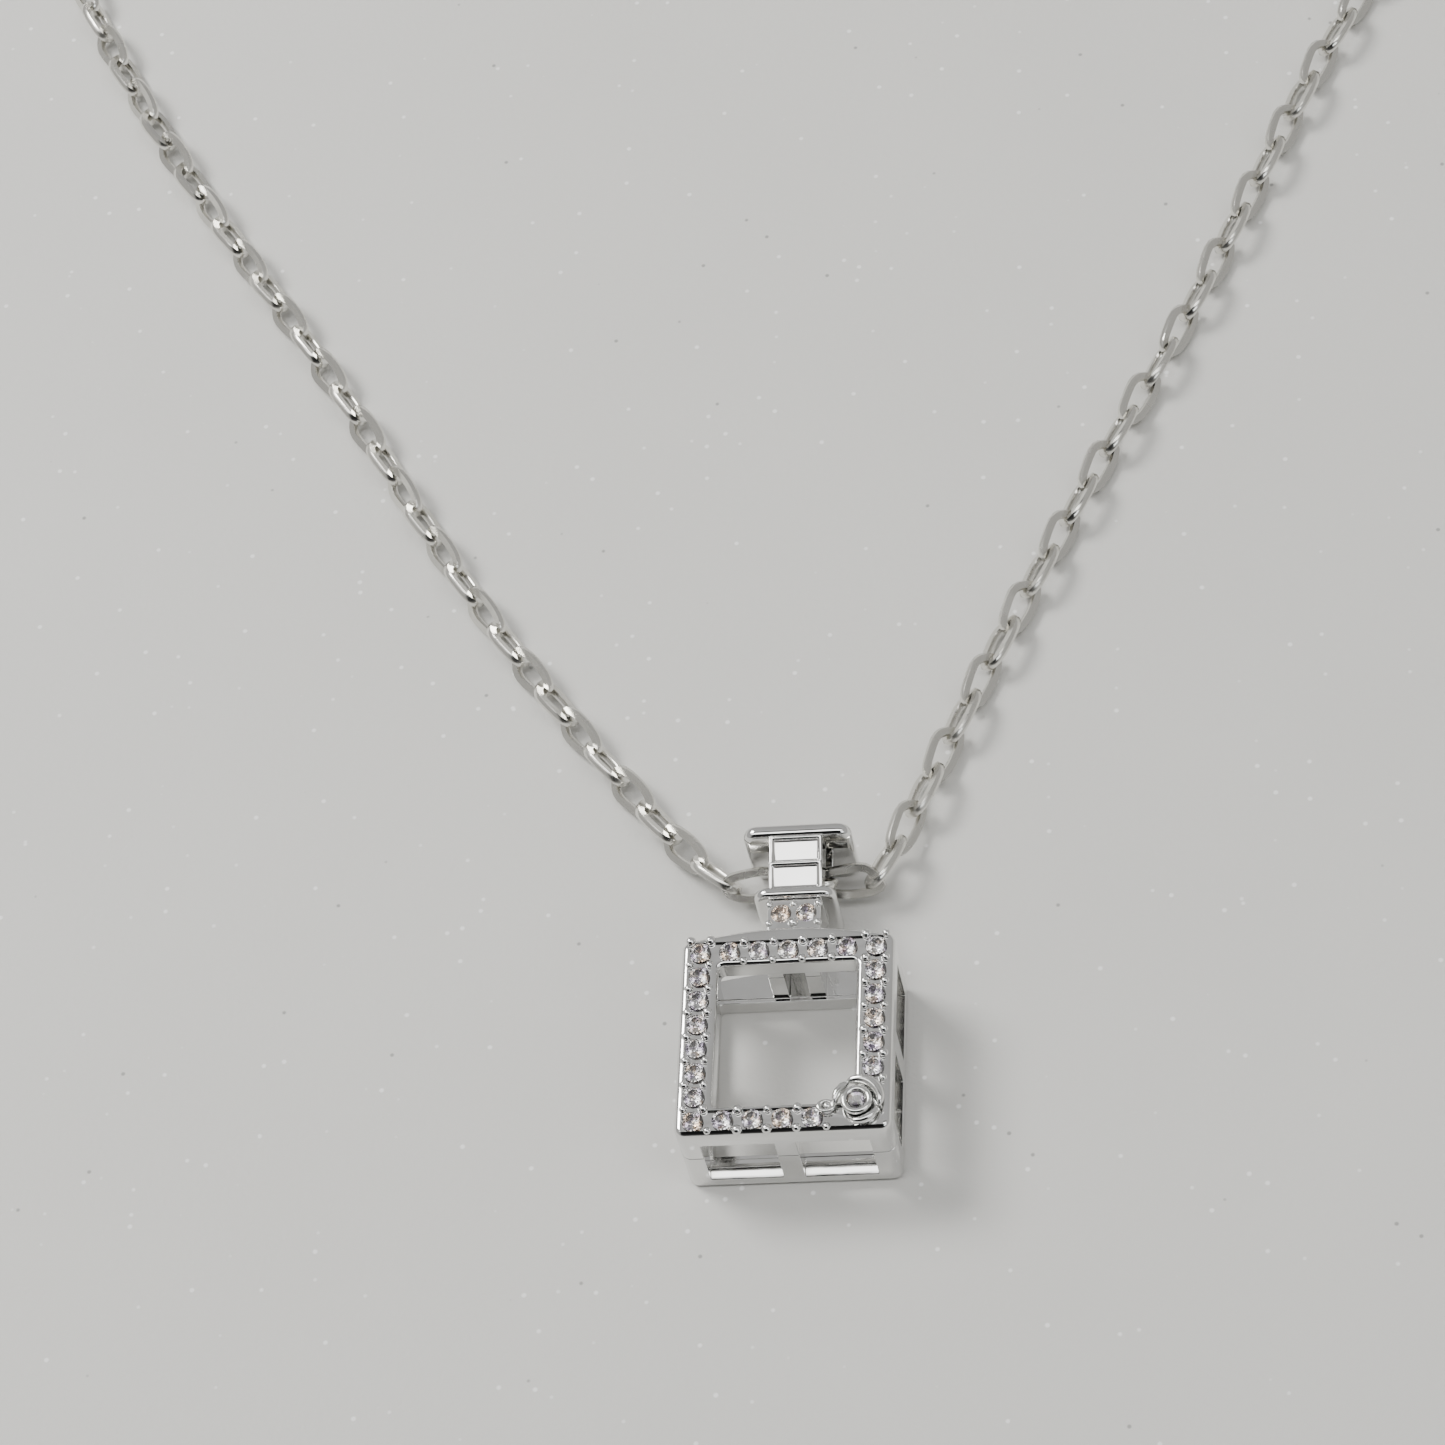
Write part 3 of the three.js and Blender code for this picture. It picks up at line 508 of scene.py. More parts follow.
def paper_floor():
    """A pale matt sheet with fine grey specks and tiny white dots that are painted glints."""
    material, nodes, link = fresh_material("pale_sheet", (0.7, 0.7, 0.68))
    shader = nodes["Principled BSDF"]
    shader.inputs["Roughness"].default_value = 0.62
    place = nodes.new("ShaderNodeTexCoord")
    mottle = noise(nodes, 45, 5)
    tone = colour_mix(nodes)
    tone.inputs["A"].default_value = (0.645, 0.64, 0.62, 1)
    tone.inputs["B"].default_value = (0.7, 0.695, 0.672, 1)
    link(place.outputs["Object"], mottle.inputs["Vector"])
    link(mottle.outputs["Fac"], tone.inputs["Factor"])
    colour = tone.outputs["Result"]
    # The white dots are painted glints; the grey dots are specks in the sheet.
    painted_glints_and_specks = ((1000, 0.18, 0.82, (1, 1, 1, 1)), (760, 0.12, 0.95, (0.3, 0.3, 0.29, 1)))
    for scale, edge, rarity, dot_colour in painted_glints_and_specks:
        dots = nodes.new("ShaderNodeTexVoronoi")
        dots.inputs["Scale"].default_value = scale
        near = remapped(nodes, edge, edge * 0.5)
        near.inputs["To Max"].default_value = 0.85
        rare = nodes.new("ShaderNodeSeparateColor")
        few = math_step(nodes, "GREATER_THAN")
        few.inputs[1].default_value = rarity
        both = math_step(nodes, "MULTIPLY")
        mix = colour_mix(nodes)
        mix.inputs["B"].default_value = dot_colour
        link(place.outputs["Object"], dots.inputs["Vector"])
        link(dots.outputs["Distance"], near.inputs["Value"])
        link(dots.outputs["Color"], rare.inputs["Color"])
        link(rare.outputs["Red"], few.inputs[0])
        link(few.outputs["Value"], both.inputs[0])
        link(near.outputs["Result"], both.inputs[1])
        link(both.outputs["Value"], mix.inputs["Factor"])
        link(colour, mix.inputs["A"])
        colour = mix.outputs["Result"]
    link(colour, shader.inputs["Base Color"])
    grain = noise(nodes, 2500)
    relief = nodes.new("ShaderNodeBump")
    relief.inputs["Distance"].default_value = 0.03 * MM
    link(place.outputs["Object"], grain.inputs["Vector"])
    link(grain.outputs["Fac"], relief.inputs["Height"])
    link(relief.outputs["Normal"], shader.inputs["Normal"])
    return material


# ---------------------------------------------------------------- chain


def model_link():
    """One oval link with filed flat faces, long along X, its opening facing Z."""
    begin()
    bpy.ops.curve.primitive_bezier_circle_add(radius=1)
    outline = bpy.context.object
    half_length, half_width = (LINK_LENGTH - LINK_WIRE) / 2, (LINK_WIDTH - LINK_WIRE) / 2
    fullness = 1.4
    for point in outline.data.splines[0].bezier_points:
        point.handle_left_type = point.handle_right_type = "FREE"
        point.handle_left = point.co + (point.handle_left - point.co) * fullness
        point.handle_right = point.co + (point.handle_right - point.co) * fullness
        for handle in ("handle_left", "co", "handle_right"):
            place = getattr(point, handle)
            setattr(point, handle, (place.x * half_length, place.y * half_width, 0))
    outline.data.resolution_u = 6
    outline.data.bevel_depth = LINK_WIRE / 2
    outline.data.bevel_resolution = 2
    bpy.ops.object.convert(target="MESH")
    link = named("link")
    editing(link)
    bpy.ops.object.mode_set(mode="EDIT")
    bpy.ops.mesh.select_all(action="SELECT")
    bpy.ops.mesh.remove_doubles(threshold=0.001 * MM)
    bpy.ops.mesh.normals_make_consistent(inside=False)
    done(link)
    for side in (-1, 1):
        pick_points(link, lambda p: side * p.z > 0.3 * LINK_WIRE)
        flat = side * LINK_THICKNESS / 2
        bpy.ops.transform.resize(value=(1, 1, 0), center_override=(0, 0, flat))
        done(link)
    soften(link, 50)
    return link


def smooth_line(points, steps=24):
    """A line through the points, close enough together to measure along."""
    line = []
    last = len(points) - 1
    for i in range(last):
        before, start, end, after = (points[max(0, min(last, i + k))] for k in (-1, 0, 1, 2))
        if i == 0:
            before = start * 2 - end
        if i == last - 1:
            after = end * 2 - start
        for step in range(steps):
            t = step / steps
            line.append(0.5 * (2 * start + (end - before) * t
                               + (2 * before - 5 * start + 4 * end - after) * t * t
                               + (3 * start - before - 3 * end + after) * t ** 3))
    return line + [points[-1]]


def along(line, distance):
    """The point on the line at the distance from its start, and the line's direction there."""
    for start, end in zip(line, line[1:]):
        step = (end - start).length
        if distance <= step:
            return start + (end - start) * (distance / step), (end - start).normalized()
        distance -= step
    return line[-1], (line[-1] - line[-2]).normalized()


def link_place(centre, heading, roll):
    """Where a link lies: long along the heading, rolled about it, on the surface or above it."""
    side = Z.cross(heading).normalized()
    up = heading.cross(side)
    turn = Matrix((heading, side, up)).transposed().to_4x4() @ Matrix.Rotation(roll, 4, "X")
    reach = (LINK_WIDTH / 2 - LINK_WIRE / 2) * abs(math.sin(roll)) + LINK_WIRE / 2
    lifted = Vector((centre.x, centre.y, max(centre.z, reach)))
    return Matrix.Translation(lifted) @ turn


def chain_run(name, link, start, route, first, side, dice):
    """One free run of links between two hinges, and the line that it follows."""
    line = smooth_line([start] + [Vector(p) * MM for p in route])
    length = sum((b - a).length for a, b in zip(line, line[1:]))
    count = round(length / LINK_PITCH)
    links = []
    for i in range(count):
        centre, heading = along(line, (i + 0.5) * length / count)
        sign = side if (first + i) % 2 == 0 else -side
        roll = sign * LINK_ROLL + math.radians(dice.uniform(-8, 8))
        links.append(copy_of(link, f"{name}_{i}", link_place(centre, heading, roll)))
    return joined(name, links), line, length, count


def add_chain(link, material):
    """The middle links and the eight free runs. Returns the last run on each side with its facts."""
    places = []
    for number in (1, 2, 3):
        low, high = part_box(f"centre_link_{number}")
        centre = (low + high) / 2
        places.append(centre)
        roll = LINK_ROLL if number != 2 else -LINK_ROLL
        place = Matrix.Translation(centre) @ Matrix.Rotation(roll, 4, "X")
        twin = copy_of(link, f"middle_link_{number}", place)
        finished(twin, material, "chain_centre", "chain_link_metal", f"centre_link_{number}")
    lasts = {}
    for side, word, route in ((1, "left", LEFT_ROUTE), (-1, "right", RIGHT_ROUTE)):
        dice = random.Random(word)
        start = places[1] - side * X * (1.5 * LINK_PITCH)
        first = 0
        for number, points in enumerate(route, 1):
            run, line, length, count = chain_run(
                f"{word}_run_{number}", link, start, points, first, side, dice)
            finished(run, material, f"{word}_run_{number}", "chain_link_metal", f"chain_{word}_{number}")
            lasts[word] = (run, line, length)
            start = line[-1]
            first += count
    return lasts


# ---------------------------------------------------------------- clasp and rings


def split_ring(name, centre, radius, axis, opening_angle):
    """A round wire ring with the fine saw cut where it was closed."""
    begin()
    bpy.ops.mesh.primitive_torus_add(
        major_segments=72, minor_segments=14, major_radius=radius, minor_radius=RING_WIRE / 2)
    ring = named(name)
    saw = 2 * HAIR
    slit = block("slit", (radius - RING_WIRE, -saw, -RING_WIRE), (radius + RING_WIRE, saw, RING_WIRE))
    slit.data.transform(Matrix.Rotation(opening_angle, 4, "Z"))
    cut(ring, slit)
    turn = Z.rotation_difference(axis).to_matrix().to_4x4()
    ring.data.transform(Matrix.Translation(centre) @ turn)
    soften(ring)
    return ring


def oval_plate(name, centre, length, width, thickness):
    begin()
    bpy.ops.mesh.primitive_cylinder_add(
        vertices=64, radius=0.5, depth=1, location=centre, scale=(length, width, thickness))
    return named(name)


def model_clasp_body():
    """The lobster body, its eye at the origin and its head along +X."""
    thick = CLASP_THICKNESS
    middle, level = Vector((6.5, 0, 1.1)) * MM, thick / 2
    body = oval_plate("clasp_casting", middle, 7.2 * MM, 5.2 * MM, thick)
    base = block("base", (1.3 * MM, -1.6 * MM, 0), (5.7 * MM, 1.6 * MM, thick))
    round_uprights(base, 0.5 * MM)
    eye = rod("eye", (0, 0, level), 1.2 * MM, 1 * MM, 40)
    shank = block("shank", (0.7 * MM, -0.6 * MM, 0.6 * MM), (1.8 * MM, 0.6 * MM, 1.6 * MM))
    weld(body, base)
    cut(body,
        oval_plate("hollow", middle, 5.1 * MM, 3.1 * MM, 2 * thick),
        block("mouth", (4.6 * MM, 0, -thick), (7.6 * MM, 5.2 * MM, 2 * thick)),
        block("slot", (2.05 * MM, -0.5 * MM, 0.4 * MM), (4.9 * MM, 5.2 * MM, 1.8 * MM)))
    weld(body, shank, eye)
    cut(body,
        rod("eye_hole", (0, 0, level), 0.6 * MM, 3 * MM, 32),
        rod("pin_hole", GATE_PIVOT, 0.35 * MM, 4 * MM, 24))
    ease(body, 0.22 * MM, 45, 3)
    soften(body, 40)
    return body


def model_clasp_lever():
    """The gate: a boss on the pin, a finger that closes the mouth, and a thumb tab."""
    tip, tab = Vector((6.85, 1.75, 1.1)) * MM, Vector((3.05, 3.1, 1.1)) * MM
    thick = 0.9 * MM
    lever = rod("gate_lever", GATE_PIVOT, 0.95 * MM, thick, 32)
    for end, width in ((tip, 0.9 * MM), (tab, 0.8 * MM)):
        reach = end - GATE_PIVOT
        bar = block("bar", (0, -width / 2, -thick / 2), (reach.length, width / 2, thick / 2))
        angle = math.atan2(reach.y, reach.x)
        bar.data.transform(Matrix.Translation(GATE_PIVOT) @ Matrix.Rotation(angle, 4, "Z"))
        weld(lever, bar, rod("knob", end, width / 2, thick, 24))
    cut(lever, rod("bore", GATE_PIVOT, 0.42 * MM, 3 * MM, 24))
    ease(lever, 0.1 * MM, 45, 2)
    soften(lever, 40)
    return lever


def model_clasp_spring():
    """A flat leaf in the slot behind the lever."""
    spring = block("gate_spring", (2.07 * MM, -0.35 * MM, 0.65 * MM), (2.25 * MM, 1.85 * MM, 1.55 * MM))
    ease(spring, 0.04 * MM)
    soften(spring)
    return spring


def model_clasp_pin():
    """The rivet, its two heads domed."""
    pin = rod("gate_rivet", GATE_PIVOT, 0.3 * MM, 2.1 * MM, 24)
    ease(pin, 0.08 * MM, 60, 3)
    soften(pin, 50)
    return pin


def add_fastening(material, spring_material):
    """The clasp on the left end and the ring on the right."""
    joints = {joint["name"]: Vector(joint["pos_m"]) for joint in frame["joints"]}
    eye, pivot = joints["clasp_swing"], joints["clasp_gate"]
    reach = pivot - eye
    heading = math.atan2(reach.y, reach.x) - math.atan2(GATE_PIVOT.y, GATE_PIVOT.x)
    turn = Matrix.Translation((eye.x, eye.y, 0)) @ Matrix.Rotation(heading, 4, "Z")
    body = model_clasp_body()
    lever = model_clasp_lever()
    pin = model_clasp_pin()
    spring = model_clasp_spring()
    for piece in (body, lever, pin, spring):
        piece.data.transform(turn)
    finished(body, material, "clasp", "clasp_metal", "clasp_body")
    finished(pin, material, "clasp", "clasp_metal", "clasp_pin")
    finished(spring, spring_material, "clasp", "spring_steel", "clasp_spring")
    finished(lever, material, "clasp_lever", "clasp_metal", "clasp_lever")
    low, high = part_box("clasp_ring")
    across = Vector((-math.sin(heading), math.cos(heading), 0))
    radius = (high.z - low.z - RING_WIRE) / 2
    ring = split_ring("upright_ring", (low + high) / 2, radius, across, math.radians(140))
    finished(ring, material, "left_run_4", "clasp_metal", "clasp_ring")
    low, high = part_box("end_ring")
    radius = (high.y - low.y - RING_WIRE) / 2
    end_ring = split_ring("closing_ring", (low + high) / 2, radius, Z, math.radians(200))
    finished(end_ring, material, "end_ring", "clasp_metal", "end_ring")


# ---------------------------------------------------------------- stones and grains


def model_stone():
    """A round brilliant, its girdle on z = 0, with radius 1."""
    begin()
    sides, girdle = 16, 0.06
    bpy.ops.mesh.primitive_cylinder_add(vertices=sides, radius=1, depth=girdle, location=(0, 0, -girdle / 2))
    stone = named("brilliant")
    half_step = math.pi / sides
    for size, rise in ((0.8, 0.2), (0.72, 0.133)):
        pick_faces(stone, lambda centre, normal: normal.z > 0.9)
        bpy.ops.mesh.extrude_region_move(TRANSFORM_OT_translate={"value": (0, 0, rise)})
        bpy.ops.transform.resize(value=(size, size, 1), center_override=(0, 0, 0))
        bpy.ops.transform.rotate(value=half_step, orient_axis="Z", center_override=(0, 0, 0))
        done(stone)
    pick_faces(stone, lambda centre, normal: normal.z < -0.9)
    bpy.ops.mesh.extrude_region_move(TRANSFORM_OT_translate={"value": (0, 0, -0.42)})
    bpy.ops.transform.resize(value=(0.45, 0.45, 1), center_override=(0, 0, 0))
    bpy.ops.transform.rotate(value=half_step, orient_axis="Z", center_override=(0, 0, 0))
    bpy.ops.mesh.extrude_region_move(TRANSFORM_OT_translate={"value": (0, 0, -0.3)})
    bpy.ops.mesh.merge(type="CENTER")
    bpy.ops.mesh.select_all(action="SELECT")
    bpy.ops.mesh.quads_convert_to_tris()
    bpy.ops.mesh.normals_make_consistent(inside=False)
    done(stone)
    return stone


def add_stones(material):
    """Every stone at its CAD place, each turned a little differently. Returns the rail stones' places."""
    model = model_stone()
    dice = random.Random("stones")
    places = {}
    for node in sorted(frame["nodes"]):
        if "stone" not in node:
            continue
        low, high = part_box(node)
        radius = (high.x - low.x) / 2
        centre = (low + high) / 2
        centre.z = high.z - STONE_CROWN * radius / STONE_RADIUS
        spin = Matrix.Rotation(dice.uniform(0, math.tau), 4, "Z")
        turn = spin @ Matrix.Rotation(dice.uniform(-0.05, 0.05), 4, "X")
        place = Matrix.Translation(centre) @ turn @ Matrix.Scale(radius * 0.99, 4)
        gem = copy_of(model, node.replace("stone", "gem"), place)
        finished(gem, material, "pendant", "clear_stone", node)
        places[node] = centre
    bpy.data.objects.remove(model)
    return places


def model_grain():
    """One raised bead that holds a stone's edge, its foot in the metal."""
    begin()
    bpy.ops.mesh.primitive_uv_sphere_add(segments=10, ring_count=7, radius=GRAIN_RADIUS)
    grain = named("grain")
    pick_points(grain, lambda p: p.z > 0)
    bpy.ops.transform.resize(value=(1, 1, 0.85), center_override=(0, 0, 0))
    done(grain)
    soften(grain, 60)
    return grain


def add_grains(places, material):
    """Two beads between every two neighbours on a rail, and beads at the feet of the neck's stones."""
    grain = model_grain()
    rails = {"left": (Y, X), "right": (Y, X), "top": (X, Y), "bottom": (X, Y)}
    spots = []
    for side, (run, across) in rails.items():
        row = [p for node, p in places.items() if node.startswith(f"stone_{side}_")]
        row.sort(key=lambda p: p.dot(run))
        step = row[1] - row[0]
        offset = across * (SIDE_RAIL_BEADS if across is X else END_RAIL_BEADS)
        gaps = [row[0] - step / 2] + [centre + step / 2 for centre in row]
        for gap in gaps:
            spots += [gap + offset, gap - offset]
    keep = []
    rosette = places["rosette_stone"]
    low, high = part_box("front_frame")
    edge = BEAD_TO_EDGE
    for spot in spots:
        crowded = any((spot - other).length < 1.2 * GRAIN_RADIUS for other in keep)
        inside = low.x + edge < spot.x < high.x - edge and low.y + edge < spot.y < high.y - edge
        if inside and not crowded and (spot.xy - rosette.xy).length > BEAD_TO_ROSETTE:
            keep.append(spot)
    middle = (places["neck_stone_left"] + places["neck_stone_right"]) / 2
    for x in (-1.4, 0, 1.4):
        for y in (-0.62, 0.6):
            keep.append(middle + Vector((x, y, 0)) * MM)
    dice = random.Random("grains")
    beads = []
    for i, spot in enumerate(keep):
        size = dice.uniform(0.8, 1.1)
        place = Matrix.Translation(spot - Z * 0.04 * MM) @ Matrix.Scale(size, 4)
        beads.append(copy_of(grain, f"bead_{i}", place))
    bpy.data.objects.remove(grain)
    beads = joined("setting_beads", beads)
    return finished(beads, material, "pendant", "pendant_metal")


# ---------------------------------------------------------------- pendant castings


def window_cutters(low, high, floor, open_end):
    """Blocks that open the four walls between their posts, each a hair shallower than the last."""
    middle = (low + high) / 2
    left, bottom, top = low.x + CORNER_POST, low.y + CORNER_POST, high.y - CORNER_POST
    over = 2 * WALL
    post = MIDDLE_POST / 2
    outer = (TOP_POST_SPREAD + TOP_POST) / 2
    notch = (TOP_POST_SPREAD - TOP_POST) / 2
    spans = [((-notch, notch), (high.y - over, high.y + over))]
    for side in (-1, 1):
        x = sorted((side * left, -side * post))
        spans.append((x, (low.y - over, low.y + over)))
        x = sorted((side * left, -side * outer))
        spans.append((x, (high.y - over, high.y + over)))
        wall = (side * high.x - over, side * high.x + over)
        spans.append((wall, (bottom, middle.y - post)))
        spans.append((wall, (middle.y + post, top)))
    hair = math.copysign(HAIR, open_end - floor)
    cutters = []
    for i, (x, y) in enumerate(spans, 1):
        z = sorted((floor + i * hair, open_end + i * hair))
        cutters.append(block("window", (x[0], y[0], z[0]), (x[1], y[1], z[1])))
    return cutters


def slope_sill(window, wall_face, floor):
    """Tips the outer end of a window's sill down, so the window has a bright slope along its edge."""
    pick_faces(window, lambda centre, normal: True)
    bpy.ops.mesh.bisect(plane_co=(0, wall_face + SILL_SLOPE, 0), plane_no=(0, 1, 0))
    done(window)
    pick_points(window, lambda p: p.y < wall_face and p.z < floor + 0.2 * MM)
    bpy.ops.transform.translate(value=(0, 0, -(2 * WALL + SILL_SLOPE) * SILL_FALL))
    done(window)


def ring_pocket(low, high, depth):
    """The sunk channel in the front face that the stones stand in."""
    border = CHANNEL_BORDER
    outer = block("pocket", (low.x + border.x, low.y + border.y, high.z - depth),
                  (high.x - border.x, high.y - border.y, high.z + depth))
    inset_x, inset_y = SIDE_RAIL - border.x, END_RAIL - border.y
    inner = block("island", (low.x + inset_x, low.y + inset_y, high.z - 3 * depth),
                  (high.x - inset_x, high.y - inset_y, high.z + 3 * depth))
    cut(outer, inner)
    return outer


def seats(centres, radius, top, floor):
    """The holes under the stones, as one cutter."""
    holes = []
    for centre in centres:
        middle = Vector((centre.x, centre.y, (top + floor) / 2))
        holes.append(rod("seat", middle, radius, top - floor, 20))
    return joined("seats", holes)


def arched_casting(name, low, high):
    """A slab as wide as the body, its top side one shallow arc. Its box then ends below the arc."""
    high.y -= SHOULDER_RISE
    casting = block(name, low, high)
    half_chord = high.x - 1.2 * CORNER_RADIUS
    for x in (-half_chord, half_chord):
        pick_faces(casting, lambda centre, normal: True)
        bpy.ops.mesh.bisect(plane_co=(x, 0, 0), plane_no=X)
        done(casting)
    pick_edges(casting, lambda a, b: abs(a.x + b.x) < HAIR and abs(a.x - b.x) > half_chord)
    bpy.ops.mesh.subdivide(number_cuts=19)
    done(casting)
    pick_points(casting, lambda p: abs(p.x) < HAIR and p.y > high.y - HAIR)
    bpy.ops.transform.translate(
        value=(0, SHOULDER_RISE, 0), use_proportional_edit=True,
        proportional_edit_falloff="INVERSE_SQUARE", proportional_size=half_chord)
    bpy.ops.mesh.select_all(action="SELECT")
    bpy.ops.mesh.dissolve_limited(angle_limit=math.radians(0.3))
    done(casting)
    round_uprights(casting, CORNER_RADIUS, 6, high.x - HAIR)
    return casting


def round_rim(casting, level, radius, reach=None):
    """Rounds the edges at the level of the front or the back face, all or those within the reach."""
    def within(p):
        middle, half = reach
        return abs(p.x - middle.x) < half.x + HAIR and abs(p.y - middle.y) < half.y + HAIR

    def on_rim(a, b):
        near = reach is None or (within(a) and within(b))
        return near and max(abs(a.z - level), abs(b.z - level)) < HAIR

    pick_edges(casting, on_rim)
    bpy.ops.mesh.bevel(offset=radius, segments=5, affect="EDGES")
    done(casting)


def model_front_frame(places):
    low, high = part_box("front_frame")
    casting = arched_casting("front_casting", low, high)
    round_rim(casting, high.z, FRONT_ROUNDING)
    opening_middle = (low + high) / 2
    opening_reach = (high - low) / 2 - Vector((SIDE_RAIL, END_RAIL, 0))
    over = 1 * MM
    opening = block("opening", (low.x + SIDE_RAIL, low.y + END_RAIL, low.z - over),
                    (high.x - SIDE_RAIL, high.y - END_RAIL, high.z + over))
    round_uprights(opening, 0.3 * MM, 4)
    ceiling = high.z - FRONT_RAIL_DEPTH
    hollow = block("hollow", (low.x + WALL, low.y + WALL, low.z - over),
                   (high.x - WALL, high.y - WALL, ceiling))
    weld(hollow, *window_cutters(low, high, ceiling, low.z - over))
    cut(casting, hollow, opening)
    round_rim(casting, high.z, INNER_ROUNDING, (opening_middle, opening_reach))
    ease(casting, 0.13 * MM, 50, 3)
    cut(casting, ring_pocket(low, high, CHANNEL_DEPTH))
    rail_stones = [p for node, p in places.items() if node.startswith("stone_")]
    cut(casting, seats(rail_stones, STONE_RADIUS * 0.97, high.z + over, high.z - 0.6 * MM))
    soften(casting, 35)
    return casting


def model_rear_frame():
    low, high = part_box("rear_frame")
    casting = arched_casting("rear_casting", low, high)
    round_rim(casting, low.z, FRONT_ROUNDING)
    over = 1 * MM
    opening = block("opening", (low.x + REAR_RAIL, low.y + REAR_RAIL, low.z - over),
                    (high.x - REAR_RAIL, high.y - REAR_RAIL, high.z + over))
    round_uprights(opening, 0.3 * MM, 4)
    ledge = low.z + REAR_RAIL_DEPTH
    hollow = block("hollow", (low.x + WALL, low.y + WALL, ledge),
                   (high.x - WALL, high.y - WALL, high.z + over))
    windows = window_cutters(low, high, ledge, high.z + over)
    for window in windows:
        if min(v.co.y for v in window.data.vertices) < low.y:
            slope_sill(window, low.y, ledge)
    weld(hollow, *windows)
    cut(casting, hollow, opening)
    ease(casting, 0.17 * MM, 50, 4)
    soften(casting, 35)
    return casting


def model_neck(places):
    low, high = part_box("neck")
    neck = block("neck_casting", low, high)
    ease(neck, 0.14 * MM, 40, 3)
    stones = [p for node, p in places.items() if node.startswith("neck_stone")]
    cut(neck, seats(stones, STONE_RADIUS * 0.97, high.z + MM, high.z - 0.6 * MM))
    soften(neck, 35)
    return neck


def model_plate(name, node, edge):
    """A rounded plate across the bail, its rim fully rounded."""
    low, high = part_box(node)
    plate = block(name, low, high)
    pick_edges(plate, lambda a, b: abs((b - a).normalized().dot(Y)) > 0.99)
    bpy.ops.mesh.bevel(offset=PLATE_CORNER, segments=6, affect="EDGES")
    done(plate)
    ease(plate, edge, 40, 4)
    soften(plate, 50)
    return plate


def model_block():
    """The stopper block: a sunk upper facet in a fine rim, and a lower one that slopes more."""
    low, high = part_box("stopper_block")
    parting = low.y + 0.5 * (high.y - low.y)
    facets = []
    sizes = (("stopper", low.y, parting, high.z - 0.12 * MM, 0.6 * MM, 0.12 * MM),
             ("upper_facet", parting, high.y, high.z, 0.56 * MM, 0.16 * MM))
    for name, y0, y1, top, drop, sunk in sizes:
        facet = block(name, (low.x, y0, low.z), (high.x, y1, top))
        pick_points(facet, lambda p: p.z > top - HAIR and p.y < y0 + HAIR)
        bpy.ops.transform.translate(value=(0, 0, -drop))
        done(facet)
        pick_faces(facet, lambda centre, normal: normal.z > 0.9)
        bpy.ops.mesh.inset(thickness=0.16 * MM, depth=0)
        bpy.ops.mesh.inset(thickness=0.14 * MM, depth=-sunk)
        done(facet)
        facets.append(facet)
    weld(*facets)
    ease(facets[0], 0.06 * MM, 20, 3)
    soften(facets[0], 25)
    return facets[0]


def model_strap():
    low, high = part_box("bail_strap")
    strap = block("strap", low, high)
    ease(strap, 0.08 * MM, 40, 3)
    soften(strap)
    return strap


def crescent(name, reach, sweep, facing, width, height, centre):
    """A crescent that lies round the centre: fat in the middle, with a point at each end."""
    begin()
    length = reach * sweep
    bpy.ops.mesh.primitive_uv_sphere_add(
        segments=20, ring_count=24, radius=0.5, rotation=(0, math.pi / 2, 0), scale=(height, width, length))
    piece = named(name)
    modifier = piece.modifiers.new("curl", "SIMPLE_DEFORM")
    modifier.deform_method = "BEND"
    modifier.deform_axis = "Z"
    modifier.angle = sweep
    apply(piece, modifier)
    middle = sum((v.co for v in piece.data.vertices), Vector()) / len(piece.data.vertices)
    ends = [v.co for v in piece.data.vertices if abs(v.co.x) > 0.42 * min(length, 2 * reach)]
    inward = math.copysign(1, sum(p.y for p in ends) / len(ends) - middle.y)
    hub = Vector((0, inward * reach, 0))
    turn = Matrix.Rotation(facing + inward * math.pi / 2, 4, "Z")
    piece.data.transform(Matrix.Translation(centre) @ turn @ Matrix.Translation(-hub))
    return piece


def wire_ring(name, centre, radius, wire, stretch=1, steps=40):
    """A smooth round ring, or with a stretch along X an oval one."""
    begin()
    bpy.ops.mesh.primitive_torus_add(
        major_segments=steps, minor_segments=12, major_radius=radius, minor_radius=wire, location=centre)
    ring = named(name)
    pick_points(ring, lambda p: True)
    bpy.ops.transform.resize(value=(stretch, 1, 1), center_override=centre)
    done(ring)
    return ring


def model_rosette():
    """A smooth ring round the stone, three crescents that curl round it and a small loop beside them."""
    gem_low, gem_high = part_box("rosette_stone")
    centre = (gem_low + gem_high) / 2
    centre.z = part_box("rosette")[0].z
    parts = [rod("cup", centre + Z * 0.16 * MM, 0.72 * MM, 0.32 * MM, 40)]
    parts.append(wire_ring("cup_rim", centre + Z * 0.34 * MM, 0.7 * MM, 0.19 * MM))
    curls = ((1.28, 135, 50, 0.66, 0.85, 0.3), (1.2, 75, 150, 0.5, 0.7, 0.24),
             (1.16, 95, -60, 0.44, 0.5, 0.14))
    for i, (reach, sweep, facing, width, height, rise) in enumerate(curls):
        hub = centre + Z * rise * MM
        sweep, facing = math.radians(sweep), math.radians(facing)
        parts.append(crescent(f"curl_{i}", reach * MM, sweep, facing, width * MM, height * MM, hub))
    loop_centre = centre + Vector((-1.72, -0.18, 0.1)) * MM
    parts.append(wire_ring("tail_loop", loop_centre, 0.3 * MM, 0.11 * MM, 1.35, 28))
    rosette = joined("swirl_rosette", parts)
    soften(rosette, 50)
    return rosette


